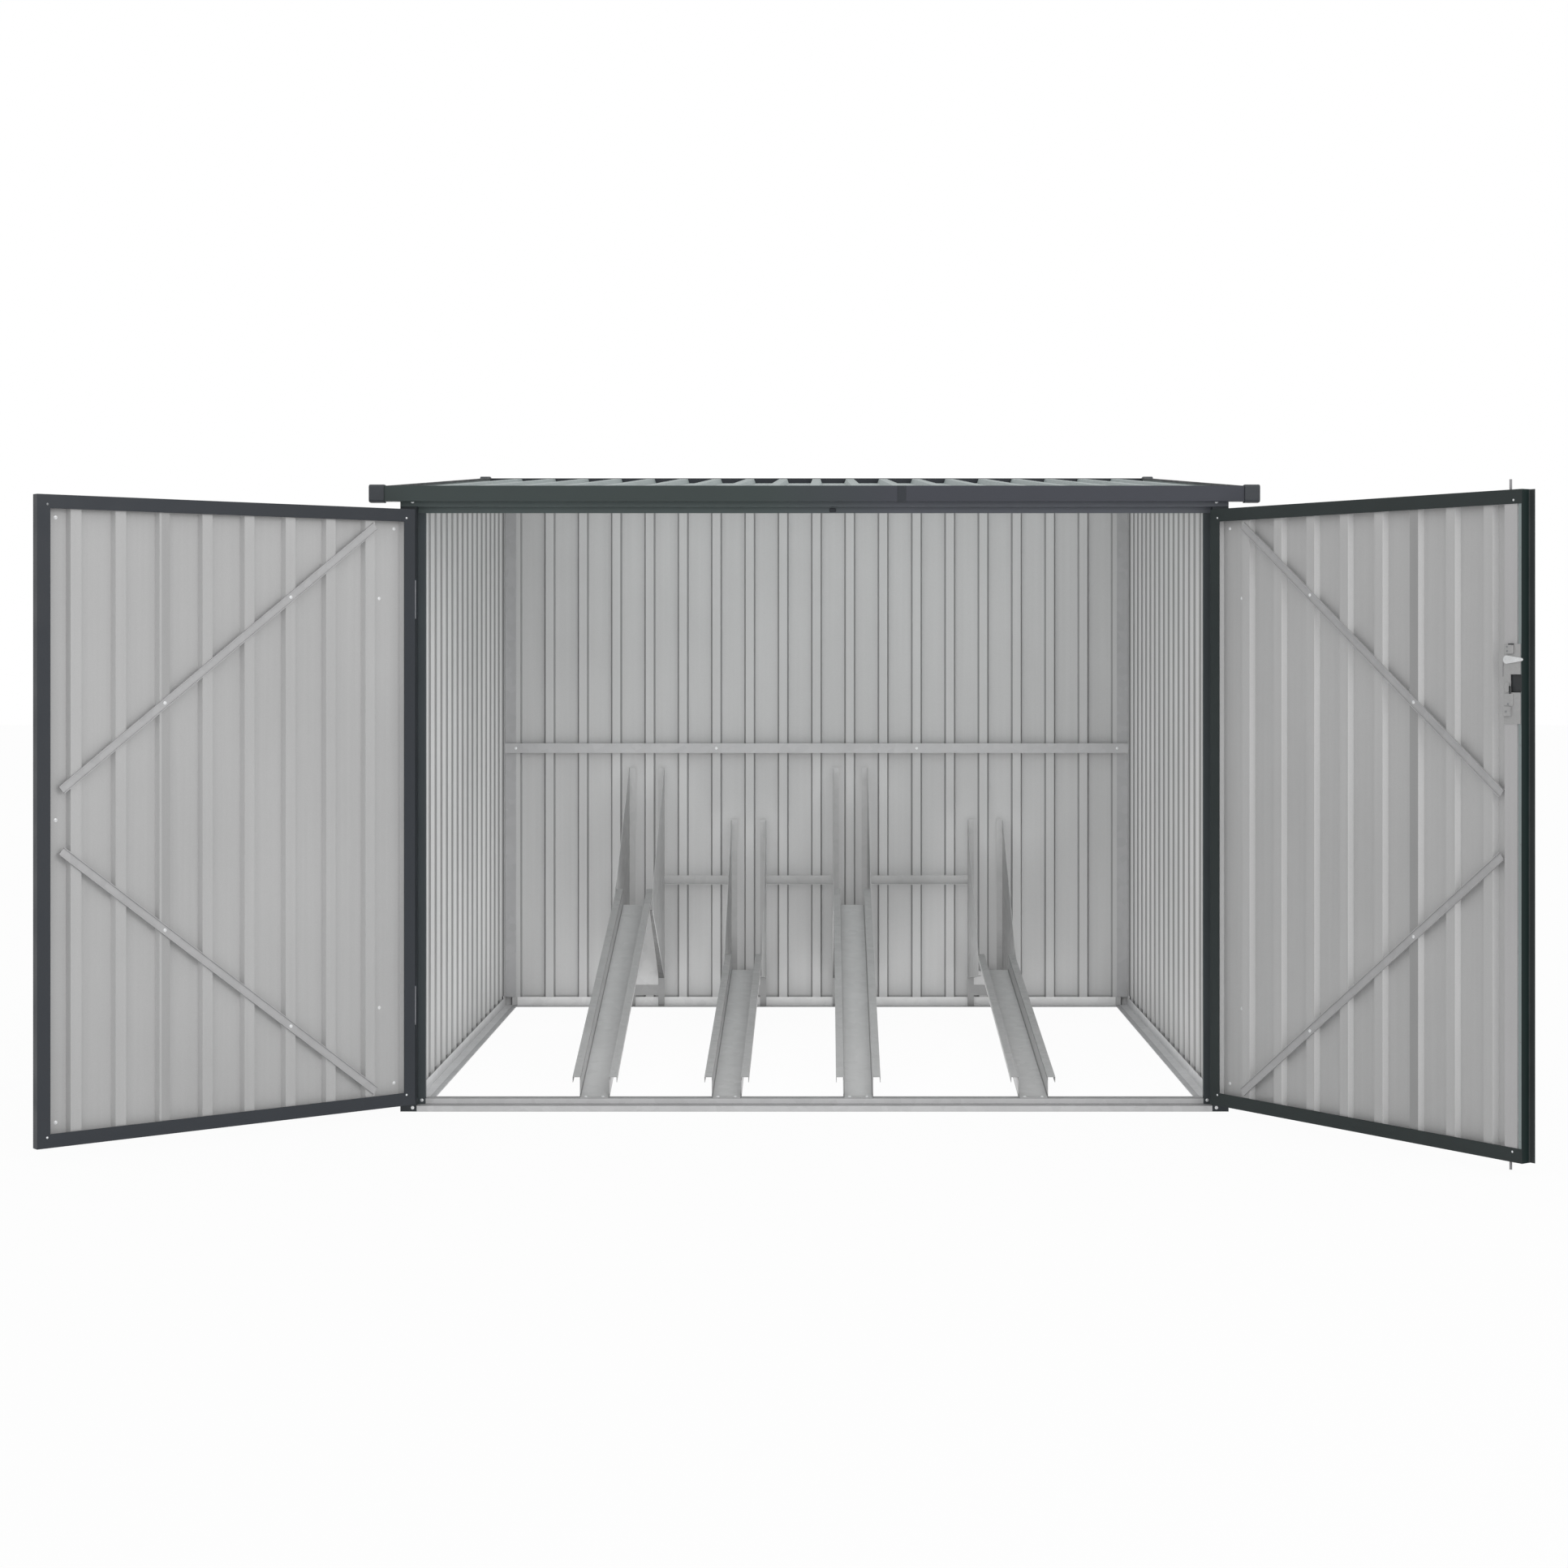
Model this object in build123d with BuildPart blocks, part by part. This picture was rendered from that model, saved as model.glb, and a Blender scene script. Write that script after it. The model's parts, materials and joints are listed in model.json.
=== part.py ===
"""Walk-in bike shelter of folded and ribbed sheet metal with a pair of hinged doors.

Millimetres. X runs to the right, Y from the front to the back, Z up.
The origin lies at ground level, in the middle of the base frame.
The doors stand open, as they are left when bikes are brought in.
"""

import os
from math import cos, radians, sin

from build123d import *

os.makedirs("parts", exist_ok=True)

# Body of the shelter
body_width = 2030.0
body_depth = 2070.0
roof_rise = 160.0
cut_overrun = 5.0

# Sheet metal
frame_sheet = 1.5
skin = 1.0
rib_pitch = 107.0
rib_depth = 15.0
rib_crest = 24.0
rib_web_run = 5.0

# Base frame
base_height = 28.0
base_flange = 38.0
anchor_hole_radius = 4.5
anchor_inset = 135.0

# Door opening
post_face = 40.0
post_side_leg = 45.0
stop_strip = 18.0
stop_lip = 14.0
rebate_depth = 28.0
sill_lip = 14.5
sill_top_depth = 30.0
sill_flange = 40.0
header_face = 32.0
header_stop = 15.0
header_flange = 40.0

# Rear corners, top rails and girt
corner_leg = 34.0
corner_trim_leg = 50.0
top_rail_leg = 30.0
girt_height = 31.0
girt_depth = 12.0
girt_centre_height = 826.0

# Roof edge
roof_side_overhang = 33.0
edge_overhang = 35.0
gutter_depth = 32.0
gutter_height = 38.0
gutter_drop = 21.0
gutter_back_height = 20.0
rear_profile_drop = 18.0
rear_profile_depth = 41.5
rear_profile_front_height = 16.0
roof_front_overhang = 12.0
roof_rear_overhang = 38.0
front_cap_width = 37.0
rear_cap_width = 31.0
cap_margin = 3.0
cap_wall = 2.5
cap_corner = 7.0
cap_bevel = 2.0
splice_width = 20.0
splice_place = 213.0
splice_sheet = 1.0
verge_drop = 18.0
verge_rise = 19.0
verge_hem = 6.0
verge_leg = 20.0

# Bike rack
rail_places = (-543.0, -217.0, 108.0, 540.0)
high_rail_end = 373.0
low_rail_end = 178.0
rail_start_depth = 56.0
rail_tab = 25.0
rail_floor = 74.0
rail_wall = 49.0
rail_flange = 18.0
rail_lip = 14.0
holder_length = 557.0
holder_lap = 40.0
holder_front_low = 12.0
holder_front_high = 45.0
high_holder_top = 764.0
low_holder_top = 597.0
holder_foot_height = 91.0
holder_back_gap = 15.0
holder_flange = 20.0
holder_toe = 15.0
holder_cross_bottom = 36.0
holder_cross_height = 32.0
tie_bar_bottom = 392.0
tie_bar_height = 28.0
tie_bar_leg = 20.0
tie_bar_setback = 12.0

# Doors
door_thickness = 22.0
door_bottom_gap = 8.5
door_top_gap = 9.0
door_height = 1451.0
door_face = 31.0
door_side_gap = 5.5
door_middle_gap = 10.0
left_open_angle = 140.5
right_open_angle = 125.3
left_rib_start = 134.0
right_rib_start = 129.0
brace_width = 20.0
brace_lip = 5.0
brace_hinge_inset = 77.0
brace_free_inset = 27.5
brace_stile_gap = 10.0
brace_end_drop = 13.0
brace_vertex_gap = 68.0

# Hinges
hinge_inset = 33.5
hinge_setback = 6.0
knuckle_radius = 5.0
hinge_pin_radius = 3.0
hinge_running_gap = 0.05
hinge_end_gap = 0.3
hinge_height = 94.0
hinge_leaf_sheet = 2.0
post_leaf_width = 23.0
door_leaf_length = 115.0
door_leaf_height = 40.0
lower_hinge_inset = 238.0
upper_hinge_inset = 219.0

# Strip that covers the joint between the doors
astragal_base = 20.0
astragal_standoff = 5.0
astragal_lip = 12.0

# Hollow stile that hides the latch rods
lock_stile_width = 49.0
lock_stile_groove = 6.0
lock_stile_groove_depth = 3.0
lock_stile_edge = 8.0
lock_stile_notch_gap = 6.0

# Espagnolette latch
latch_inset = 40.0
latch_height = 1107.0
rod_radius = 3.0
rod_gap = 0.2
strike_gap = 2.5
rod_top_reach = 23.0
rod_bottom_reach = 19.0
cam_radius = 19.0
cam_sheet = 3.0
cam_gap = 1.5
crank_radius = 16.0
crank_rest_angle = 45.0
crank_pin_radius = 2.5
crank_pin_length = 5.0
crank_gap = 0.6
spindle_radius = 4.0
spindle_gap = 0.15
rod_eye_margin = 3.0
rod_eye_sheet = 3.0
rod_shoulder = 31.0
tongue_hub = 9.0
tongue_length = 43.0
tongue_tip = 3.5
tongue_sheet = 3.0
tongue_gap = 0.5
lever_hub_radius = 14.0
lever_hub_length = 28.0
lever_length = 105.0
lever_end_radius = 7.0
lever_sheet = 9.0
lever_face_gap = 0.3
latch_plate_drop = 139.0
latch_plate_height = 173.0
latch_plate_width = 46.0
latch_plate_edge_gap = 4.0
latch_window_drop = 71.0
latch_window_height = 39.0
latch_window_width = 28.0
guide_block_width = 22.0
guide_block_height = 21.0
guide_block_rise = 17.0
guide_block_depth = 5.0
lock_case_gap = 6.0
lock_case_drop = 70.0
lock_case_height = 37.0
lock_case_depth = 15.0
lock_case_edge_gap = 2.0

# Places worked out from the sizes above
half_width = body_width / 2
roof_half_width = half_width + roof_side_overhang
edge_half_width = half_width + edge_overhang
door_bottom = sill_lip + door_bottom_gap
header_bottom = door_bottom + door_height + door_top_gap
front_roof_height = header_bottom + header_face
rear_roof_height = front_roof_height + roof_rise
gutter_bottom = front_roof_height - gutter_drop
rear_profile_bottom = rear_roof_height - rear_profile_drop
hinge_heights = (door_bottom + lower_hinge_inset, door_bottom + door_height - upper_hinge_inset)
front_y = -body_depth / 2
rear_y = body_depth / 2
wall_pocket = frame_sheet + rib_depth
wall_band = wall_pocket + frame_sheet
base_reach = wall_band + base_flange
rib_rise = rib_depth - skin
rib_foot = rib_crest / 2 + rib_web_run
opening_half = half_width - post_face
clear_half = opening_half - stop_strip
roof_slope = roof_rise / body_depth
slope_scale = 1 / (1 + roof_slope**2) ** 0.5
roof_run = (0, slope_scale, roof_slope * slope_scale)
roof_up = (0, -roof_slope * slope_scale, slope_scale)
rear_top = rear_roof_height - roof_slope * wall_band
hinge_x = half_width - hinge_inset
hinge_y = front_y - hinge_setback
door_edge = hinge_x - opening_half + door_side_gap
door_free = hinge_x - door_middle_gap / 2
door_width = door_free - door_edge
door_middle = (door_edge + door_free) / 2
door_centre_height = door_bottom + door_height / 2
door_inner = hinge_setback + door_thickness
pan_inner = hinge_setback + frame_sheet + skin
crest_face = hinge_setback + frame_sheet + rib_depth
stile_face = door_inner - frame_sheet
latch_u = door_free - latch_inset
rod_depth = hinge_setback + door_thickness / 2
strike_x = hinge_x - latch_u
strike_y = hinge_y + rod_depth
latch_plate_bottom = latch_height - latch_plate_drop
latch_window_bottom = latch_height - latch_window_drop
lock_case_bottom = latch_height - lock_case_drop


def roof_under(place):
    """Height of the roof sheet's underside at a distance from front to back."""
    return front_roof_height + roof_slope * (place - front_y)


def folded(points, thickness):
    """Outline of a folded sheet: its bend line and a copy one thickness to the left of it."""
    path = [Vector(*point) for point in points]
    runs = [(end - start).normalized() for start, end in zip(path, path[1:])]
    lefts = [Vector(-run.Y, run.X) for run in runs]
    before = [lefts[0]] + lefts
    after = lefts + [lefts[-1]]
    shifted = [
        corner + (first + second) * (thickness / (1 + first.dot(second)))
        for corner, first, second in zip(path, before, after)
    ]
    return [(point.X, point.Y) for point in path + shifted[::-1]]


def ribbed(start, end, ribs, level):
    """Bend line of a ribbed sheet: flats at the level, with ribs that rise from it."""
    points = [(start, level)]
    for centre in ribs:
        points.append((centre - rib_foot, level))
        points.append((centre - rib_crest / 2, level + rib_rise))
        points.append((centre + rib_crest / 2, level + rib_rise))
        points.append((centre + rib_foot, level))
    points.append((end, level))
    return points


def section(origin, inward):
    """Plane across a level member, with x towards the inside of the shelter and y up."""
    inward = Vector(*inward)
    return Plane(origin=origin, x_dir=inward, z_dir=inward.cross(Vector(0, 0, 1)))


def roof_section(place):
    """Plane across the roof's slope, with x to the left and y up, on the roof's underside."""
    return Plane(origin=(0, place, roof_under(place)), x_dir=(-1, 0, 0), z_dir=roof_run)


def save(piece, name):
    """Label a finished piece and write it to its file."""
    piece.part.label = name
    export_step(piece.part, f"parts/{name}.step")


def save_pair(left, left_name, right_name):
    """Write a left-hand piece and its mirror image on the right."""
    save(left, left_name)
    with BuildPart() as right:
        mirror(left.part, about=Plane.YZ)
    save(right, right_name)


# Base frame: a stepped sill under the doors and three pocket channels for the walls
with BuildPart() as base_front_sill:
    with BuildSketch(section((-opening_half, front_y, 0), (0, 1, 0))):
        Polygon(*folded([(rebate_depth, sill_lip), (0, sill_lip), (0, 0)], frame_sheet), align=None)
    extrude(amount=2 * opening_half)
    stop_back = rebate_depth + frame_sheet
    sill_back = rebate_depth + sill_top_depth
    sill_fold = [
        (stop_back, sill_lip - frame_sheet),
        (stop_back, base_height - frame_sheet),
        (sill_back, base_height - frame_sheet),
        (sill_back, 0),
        (sill_back + sill_flange, 0),
    ]
    with BuildSketch(section((-clear_half, front_y, 0), (0, 1, 0))):
        Polygon(*folded(sill_fold, frame_sheet), align=None)
    extrude(amount=2 * clear_half)
    with Locations((strike_x, strike_y, sill_lip)):
        Hole(rod_radius + strike_gap, depth=frame_sheet + cut_overrun)
save(base_front_sill, "base_front_sill")

channel_fold = [(0, base_height), (0, 0), (base_reach, 0)]
channel_upright = [(wall_pocket, base_height), (wall_pocket, 0)]

with BuildPart() as base_side_channels:
    with BuildSketch(section((-half_width, rear_y, 0), (1, 0, 0))):
        Polygon(*folded(channel_fold, frame_sheet), align=None)
        Polygon(*folded(channel_upright, frame_sheet), align=None)
    extrude(amount=body_depth - post_side_leg)
    anchor_x = half_width - base_reach + base_flange / 2
    anchor_y = rear_y - anchor_inset
    with Locations((-anchor_x, anchor_y, frame_sheet), (-anchor_x, -anchor_y, frame_sheet)):
        Hole(anchor_hole_radius, depth=frame_sheet + cut_overrun)
    mirror(about=Plane.YZ)
save(base_side_channels, "base_side_channels")

with BuildPart() as base_rear_channel:
    with BuildSketch(section((half_width - base_reach, rear_y, 0), (0, -1, 0))):
        Polygon(*folded(channel_fold, frame_sheet), align=None)
        Polygon(*folded(channel_upright, frame_sheet), align=None)
    extrude(amount=2 * (half_width - base_reach))
save(base_rear_channel, "base_rear_channel")

# Front posts: a face to the front, a rebate for the door and a stop strip behind it
post_fold = [(0, post_side_leg), (0, 0), (post_face, 0), (post_face, rebate_depth + frame_sheet)]
stop_fold = [
    (post_face, rebate_depth),
    (post_face + stop_strip, rebate_depth),
    (post_face + stop_strip, rebate_depth + stop_lip),
]

with BuildPart() as front_posts:
    with BuildSketch(Plane(origin=(-half_width, front_y, 0))):
        Polygon(*folded(post_fold, frame_sheet), align=None)
    extrude(amount=header_bottom)
    with BuildSketch(Plane(origin=(-half_width, front_y, base_height))):
        Polygon(*folded(stop_fold, frame_sheet), align=None)
    extrude(amount=header_bottom - header_stop - base_height)
    with BuildSketch(Plane(origin=(-half_width, front_y, sill_lip))):
        Polygon(*folded(stop_fold[:2], frame_sheet), align=None)
    extrude(amount=base_height - sill_lip)
    mirror(about=Plane.YZ)
save(front_posts, "front_posts")

# Front header: the same rebate, turned upside down
with BuildPart() as front_header:
    with BuildSketch(section((-half_width, front_y, 0), (0, 1, 0))):
        Polygon(*folded([(0, front_roof_height), (0, header_bottom)], frame_sheet), align=None)
    extrude(amount=body_width)
    with BuildSketch(section((-opening_half, front_y, 0), (0, 1, 0))):
        Polygon(*folded([(0, header_bottom), (rebate_depth, header_bottom)], frame_sheet), align=None)
        stop_line = [(rebate_depth, header_bottom + frame_sheet), (rebate_depth, header_bottom - header_stop)]
        Polygon(*folded(stop_line, frame_sheet), align=None)
    extrude(amount=2 * opening_half)
    flange_half = half_width - wall_band
    with BuildSketch(section((-flange_half, front_y, 0), (0, 1, 0))):
        flange_line = [(header_flange, front_roof_height), (0, front_roof_height)]
        Polygon(*folded(flange_line, frame_sheet), align=None)
    extrude(amount=2 * flange_half)
    with Locations((strike_x, strike_y, header_bottom + frame_sheet)):
        Hole(rod_radius + strike_gap, depth=frame_sheet + cut_overrun)
save(front_header, "front_header")

# Rear corners: an angle inside the corner and a trim angle outside it
corner_top = roof_under(rear_y - wall_band - corner_trim_leg) - top_rail_leg / slope_scale

with BuildPart() as rear_corner_posts:
    inner_x = -half_width + wall_band
    inner_y = rear_y - wall_band
    corner_fold = [(inner_x, inner_y - corner_leg), (inner_x, inner_y), (inner_x + corner_leg, inner_y)]
    with BuildSketch(Plane.XY.offset(base_height)):
        Polygon(*folded(corner_fold, frame_sheet), align=None)
    extrude(amount=corner_top - base_height)
    mirror(about=Plane.YZ)
save(rear_corner_posts, "rear_corner_posts")

with BuildPart() as rear_corner_trims:
    trim_fold = [
        (-half_width + corner_trim_leg, rear_y),
        (-half_width, rear_y),
        (-half_width, rear_y - corner_trim_leg),
    ]
    with BuildSketch(Plane.XY.offset(base_height)):
        Polygon(*folded(trim_fold, frame_sheet), align=None)
    extrude(amount=corner_top - base_height)
    mirror(about=Plane.YZ)
save(rear_corner_trims, "rear_corner_trims")

# Top rails: inverted channels over the wall sheets, which carry the roof
with BuildPart() as rear_top_rail:
    rail_fold = [
        (wall_band, rear_top - top_rail_leg),
        (wall_band, rear_top),
        (0, rear_top),
        (0, rear_top - top_rail_leg),
    ]
    with BuildSketch(section((half_width, rear_y, 0), (0, -1, 0))):
        Polygon(*folded(rail_fold, frame_sheet), align=None)
    extrude(amount=body_width)
save(rear_top_rail, "rear_top_rail")

with BuildPart() as side_top_rails:
    side_fold = [
        (half_width, -top_rail_leg),
        (half_width, 0),
        (half_width - wall_band, 0),
        (half_width - wall_band, -top_rail_leg),
    ]
    side_rail_start = front_y + frame_sheet
    side_rail_length = body_depth - frame_sheet - wall_band - top_rail_leg * roof_slope
    with BuildSketch(roof_section(side_rail_start)):
        Polygon(*folded(side_fold, frame_sheet), align=None)
    extrude(amount=side_rail_length / slope_scale)
    mirror(about=Plane.YZ)
save(side_top_rails, "side_top_rails")

# Walls: ribbed sheets whose narrow ribs stand towards the inside


def rib_places(half_length):
    """Places of the ribs that fit on a sheet, counted both ways from its middle."""
    count = int((half_length - rib_foot) // rib_pitch)
    return [rib_pitch * step for step in range(-count, count + 1)]


side_ribs = rib_places(rear_y - wall_band)
rear_half = half_width - wall_band
rear_ribs = rib_places(rear_half)

with BuildPart() as left_wall:
    wall_plane = Plane(origin=(-half_width + frame_sheet, 0, frame_sheet), x_dir=(0, -1, 0), z_dir=(0, 0, 1))
    side_line = ribbed(-(rear_y - wall_band), -(front_y + frame_sheet), side_ribs, 0)
    with BuildSketch(wall_plane):
        Polygon(*folded(side_line, skin), align=None)
    extrude(amount=rear_roof_height)
    wall_top = front_roof_height - frame_sheet / slope_scale
    split(bisect_by=Plane(origin=(0, front_y, wall_top), x_dir=(1, 0, 0), z_dir=roof_up), keep=Keep.BOTTOM)
save_pair(left_wall, "left_wall", "right_wall")

with BuildPart() as rear_wall:
    rear_plane = Plane(origin=(0, rear_y - frame_sheet, frame_sheet), x_dir=(-1, 0, 0), z_dir=(0, 0, 1))
    rear_line = ribbed(-rear_half, rear_half, rear_ribs, 0)
    with BuildSketch(rear_plane):
        Polygon(*folded(rear_line, skin), align=None)
    extrude(amount=rear_top - 2 * frame_sheet)
save(rear_wall, "rear_wall")

# Rear girt: a shallow channel across the back, from corner to corner
with BuildPart() as rear_girt:
    girt_top = girt_centre_height + girt_height / 2
    girt_bottom = girt_centre_height - girt_height / 2
    girt_face = wall_band + girt_depth
    girt_fold = [
        (wall_band, girt_bottom),
        (girt_face, girt_bottom),
        (girt_face, girt_top),
        (wall_band, girt_top),
    ]
    with BuildSketch(section((rear_half, rear_y, 0), (0, -1, 0))):
        Polygon(*folded(girt_fold, frame_sheet), align=None)
    extrude(amount=2 * rear_half)
save(rear_girt, "rear_girt")

# Roof: one ribbed sheet on the slope, edged by profiles with end caps and by side trims
with BuildPart() as roof_sheet:
    roof_start = front_y - roof_front_overhang
    roof_length = roof_front_overhang + body_depth + roof_rear_overhang
    with BuildSketch(roof_section(roof_start)):
        Polygon(*folded(ribbed(-roof_half_width, roof_half_width, rear_ribs, 0), skin), align=None)
    extrude(amount=roof_length / slope_scale)
save(roof_sheet, "roof_sheet")


def edge_profile(bottom, depth, inner_height):
    """Bend line of a roof edge profile, an open channel with its tall side outwards."""
    return [
        (0, bottom + gutter_height),
        (0, bottom),
        (depth, bottom),
        (depth, bottom + inner_height),
    ]


with BuildPart() as front_gutter:
    gutter_line = edge_profile(gutter_bottom, gutter_depth, gutter_back_height)
    with BuildSketch(section((-edge_half_width, front_y - gutter_depth, 0), (0, 1, 0))):
        Polygon(*folded(gutter_line, frame_sheet), align=None)
    extrude(amount=2 * edge_half_width)
save(front_gutter, "front_gutter")

with BuildPart() as rear_roof_profile:
    profile_line = edge_profile(rear_profile_bottom, rear_profile_depth, rear_profile_front_height)
    with BuildSketch(section((edge_half_width, rear_y + rear_profile_depth, 0), (0, -1, 0))):
        Polygon(*folded(profile_line, frame_sheet), align=None)
    extrude(amount=2 * edge_half_width)
save(rear_roof_profile, "rear_roof_profile")

with BuildPart() as gutter_splice:
    splice_line = [
        (gutter_depth, gutter_bottom),
        (0, gutter_bottom),
        (0, gutter_bottom + gutter_height),
    ]
    with BuildSketch(section((splice_place - splice_width / 2, front_y - gutter_depth, 0), (0, 1, 0))):
        Polygon(*folded(splice_line, splice_sheet), align=None)
    extrude(amount=splice_width)
save(gutter_splice, "gutter_splice")

with BuildPart() as roof_end_caps:
    cap_places = [
        (front_y - gutter_depth / 2, gutter_bottom, gutter_depth, front_cap_width),
        (rear_y + rear_profile_depth / 2, rear_profile_bottom, rear_profile_depth, rear_cap_width),
    ]
    cap_height = gutter_height + 2 * cap_margin
    for cap_y, bottom, depth, width in cap_places:
        cap_depth = depth + 2 * cap_margin
        cap_centre = (cap_y, bottom + gutter_height / 2)
        with BuildSketch(Plane.YZ.offset(edge_half_width)):
            with Locations(cap_centre):
                RectangleRounded(cap_depth, cap_height, cap_corner)
        cap = extrude(amount=width)
        chamfer(cap.faces().sort_by(Axis.X)[-1].edges(), length=cap_bevel)
        with BuildSketch(Plane.YZ.offset(edge_half_width)):
            with Locations(cap_centre):
                RectangleRounded(cap_depth - 2 * cap_wall, cap_height - 2 * cap_wall, cap_corner - cap_wall)
        extrude(amount=width - cap_wall, mode=Mode.SUBTRACT)
    mirror(about=Plane.YZ)
save(roof_end_caps, "roof_end_caps")

with BuildPart() as roof_side_trims:
    verge_inner = edge_half_width - frame_sheet
    verge_foot = [(verge_inner, 0), (verge_inner - verge_leg, 0)]
    hem_inner = edge_half_width - verge_hem
    verge_face = [
        (edge_half_width, -verge_drop),
        (edge_half_width, verge_rise),
        (hem_inner, verge_rise),
        (hem_inner, verge_rise - verge_hem),
    ]
    verge_length = body_depth - 2 * frame_sheet - verge_drop * roof_slope
    with BuildSketch(roof_section(front_y + frame_sheet)):
        Polygon(*folded(verge_foot, frame_sheet), align=None)
        Polygon(*folded(verge_face, frame_sheet), align=None)
    extrude(amount=verge_length / slope_scale)
    mirror(about=Plane.YZ)
save(roof_side_trims, "roof_side_trims")

# Bike rack: sloping hat-section rails, a pair of plates round each front wheel, tie bars between
rail_ends = (high_rail_end, low_rail_end, high_rail_end, low_rail_end)
holder_tops = (high_holder_top, low_holder_top, high_holder_top, low_holder_top)
rail_outer = rail_floor / 2 + rail_flange
rail_start_y = front_y + rail_start_depth
holder_back = rear_y - wall_band - holder_back_gap
rail_end_y = holder_back - holder_length


def bike_rail(place, end_height):
    """Trough of folded sheet that climbs from the sill to its wheel holder."""
    half_floor = rail_floor / 2
    rail_line = [
        (-rail_outer + frame_sheet, rail_wall - rail_lip),
        (-rail_outer + frame_sheet, rail_wall - frame_sheet),
        (-half_floor, rail_wall - frame_sheet),
        (-half_floor, 0),
        (half_floor, 0),
        (half_floor, rail_wall - frame_sheet),
        (rail_outer - frame_sheet, rail_wall - frame_sheet),
        (rail_outer - frame_sheet, rail_wall - rail_lip),
    ]
    run = Vector(0, rail_end_y - rail_start_y, end_height - base_height)
    with BuildPart() as rail:
        with BuildSketch(Plane(origin=(place, rail_start_y, base_height), x_dir=(1, 0, 0), z_dir=(0, -1, 0))):
            Polygon(*folded(rail_line, frame_sheet), align=None)
        extrude(amount=run.length, dir=run.normalized())
        with BuildSketch(Plane(origin=(place, rail_start_y, base_height))):
            Rectangle(rail_floor, rail_tab, align=(Align.CENTER, Align.MAX))
        extrude(amount=frame_sheet)
    return rail


def wheel_holder(place, end_height, top_height):
    """Two upright plates at the sides of the wheel, joined at the back and standing on the base."""
    front = rail_end_y - holder_lap
    plate = [
        (front, end_height - holder_front_low),
        (front, end_height + holder_front_high),
        (holder_back, top_height),
        (holder_back, holder_foot_height),
    ]
    inner = rail_outer + frame_sheet - holder_flange
    with BuildPart() as holder:
        with BuildSketch(Plane.YZ.offset(place + rail_outer)):
            Polygon(*plate, align=None)
        extrude(amount=frame_sheet)
        with BuildSketch(Plane.XZ.offset(-holder_back)):
            with Locations((place + inner, frame_sheet)):
                Rectangle(holder_flange, top_height - frame_sheet, align=(Align.MIN, Align.MIN))
            with Locations((place, holder_cross_bottom)):
                Rectangle(inner + frame_sheet, holder_cross_height, align=(Align.MIN, Align.MIN))
        extrude(amount=frame_sheet)
        with BuildSketch(Plane.XY.offset(frame_sheet)):
            with Locations((place + inner, holder_back)):
                Rectangle(holder_flange, holder_toe, align=(Align.MIN, Align.MAX))
        extrude(amount=frame_sheet)
        mirror(about=Plane.YZ.offset(place))
    return holder


for number, (place, end_height, top_height) in enumerate(zip(rail_places, rail_ends, holder_tops), start=1):
    save(bike_rail(place, end_height), f"bike_rail_{number}")
    save(wheel_holder(place, end_height, top_height), f"wheel_holder_{number}")

with BuildPart() as rack_tie_bars:
    tie_back = holder_back - tie_bar_setback
    tie_line = [
        (tie_back - tie_bar_leg, tie_bar_bottom),
        (tie_back, tie_bar_bottom),
        (tie_back, tie_bar_bottom + tie_bar_height),
    ]
    for left_place, right_place in zip(rail_places, rail_places[1:]):
        tie_start = left_place + rail_outer + frame_sheet
        tie_end = right_place - rail_outer - frame_sheet
        with BuildSketch(Plane.YZ.offset(tie_start)):
            Polygon(*folded(tie_line, frame_sheet), align=None)
        extrude(amount=tie_end - tie_start)
save(rack_tie_bars, "rack_tie_bars")


# Doors are drawn at the left-hand hinge and turned open about it. The right-hand door is drawn there
# at its own angle and mirrored. Along the door x runs from the hinge to the free edge, y runs inwards.
def door_plan(open_angle, height):
    """Level plane of a door at a height, turned with the door about its hinge."""
    turn = radians(open_angle)
    return Plane(origin=(-hinge_x, hinge_y, height), x_dir=(cos(turn), -sin(turn), 0), z_dir=(0, 0, 1))


def door_face_plane(open_angle, depth):
    """Upright plane of a door at a depth behind its hinge, facing outwards, with y up."""
    plan = door_plan(open_angle, 0)
    return Plane(origin=plan.origin + plan.y_dir * depth, x_dir=plan.x_dir, z_dir=plan.y_dir * -1)


def door_frame(open_angle, latch_side):
    """Border of folded channel round a door. The latch side has rod holes and a bare inner edge."""
    window_width = door_width - 2 * door_face
    window_height = door_height - 2 * door_face
    centre = (door_middle, door_centre_height)
    with BuildPart() as frame:
        with BuildSketch(door_face_plane(open_angle, door_inner)):
            with Locations(centre):
                Rectangle(door_width, door_height)
                Rectangle(window_width, window_height, mode=Mode.SUBTRACT)
        extrude(amount=door_thickness)
        with BuildSketch(door_face_plane(open_angle, stile_face)):
            with Locations(centre):
                Rectangle(door_width - 2 * frame_sheet, door_height - 2 * frame_sheet)
        extrude(amount=door_thickness - 2 * frame_sheet, mode=Mode.SUBTRACT)
        if latch_side:
            with BuildSketch(door_face_plane(open_angle, door_inner)):
                with Locations((door_free - frame_sheet, door_centre_height)):
                    Rectangle(door_face, window_height, align=(Align.MAX, Align.CENTER))
            extrude(amount=frame_sheet, mode=Mode.SUBTRACT)
            with BuildSketch(door_plan(open_angle, door_bottom - cut_overrun)):
                with Locations((latch_u, rod_depth)):
                    Circle(rod_radius + rod_gap)
            extrude(amount=door_height + 2 * cut_overrun, mode=Mode.SUBTRACT)
    return frame


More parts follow.
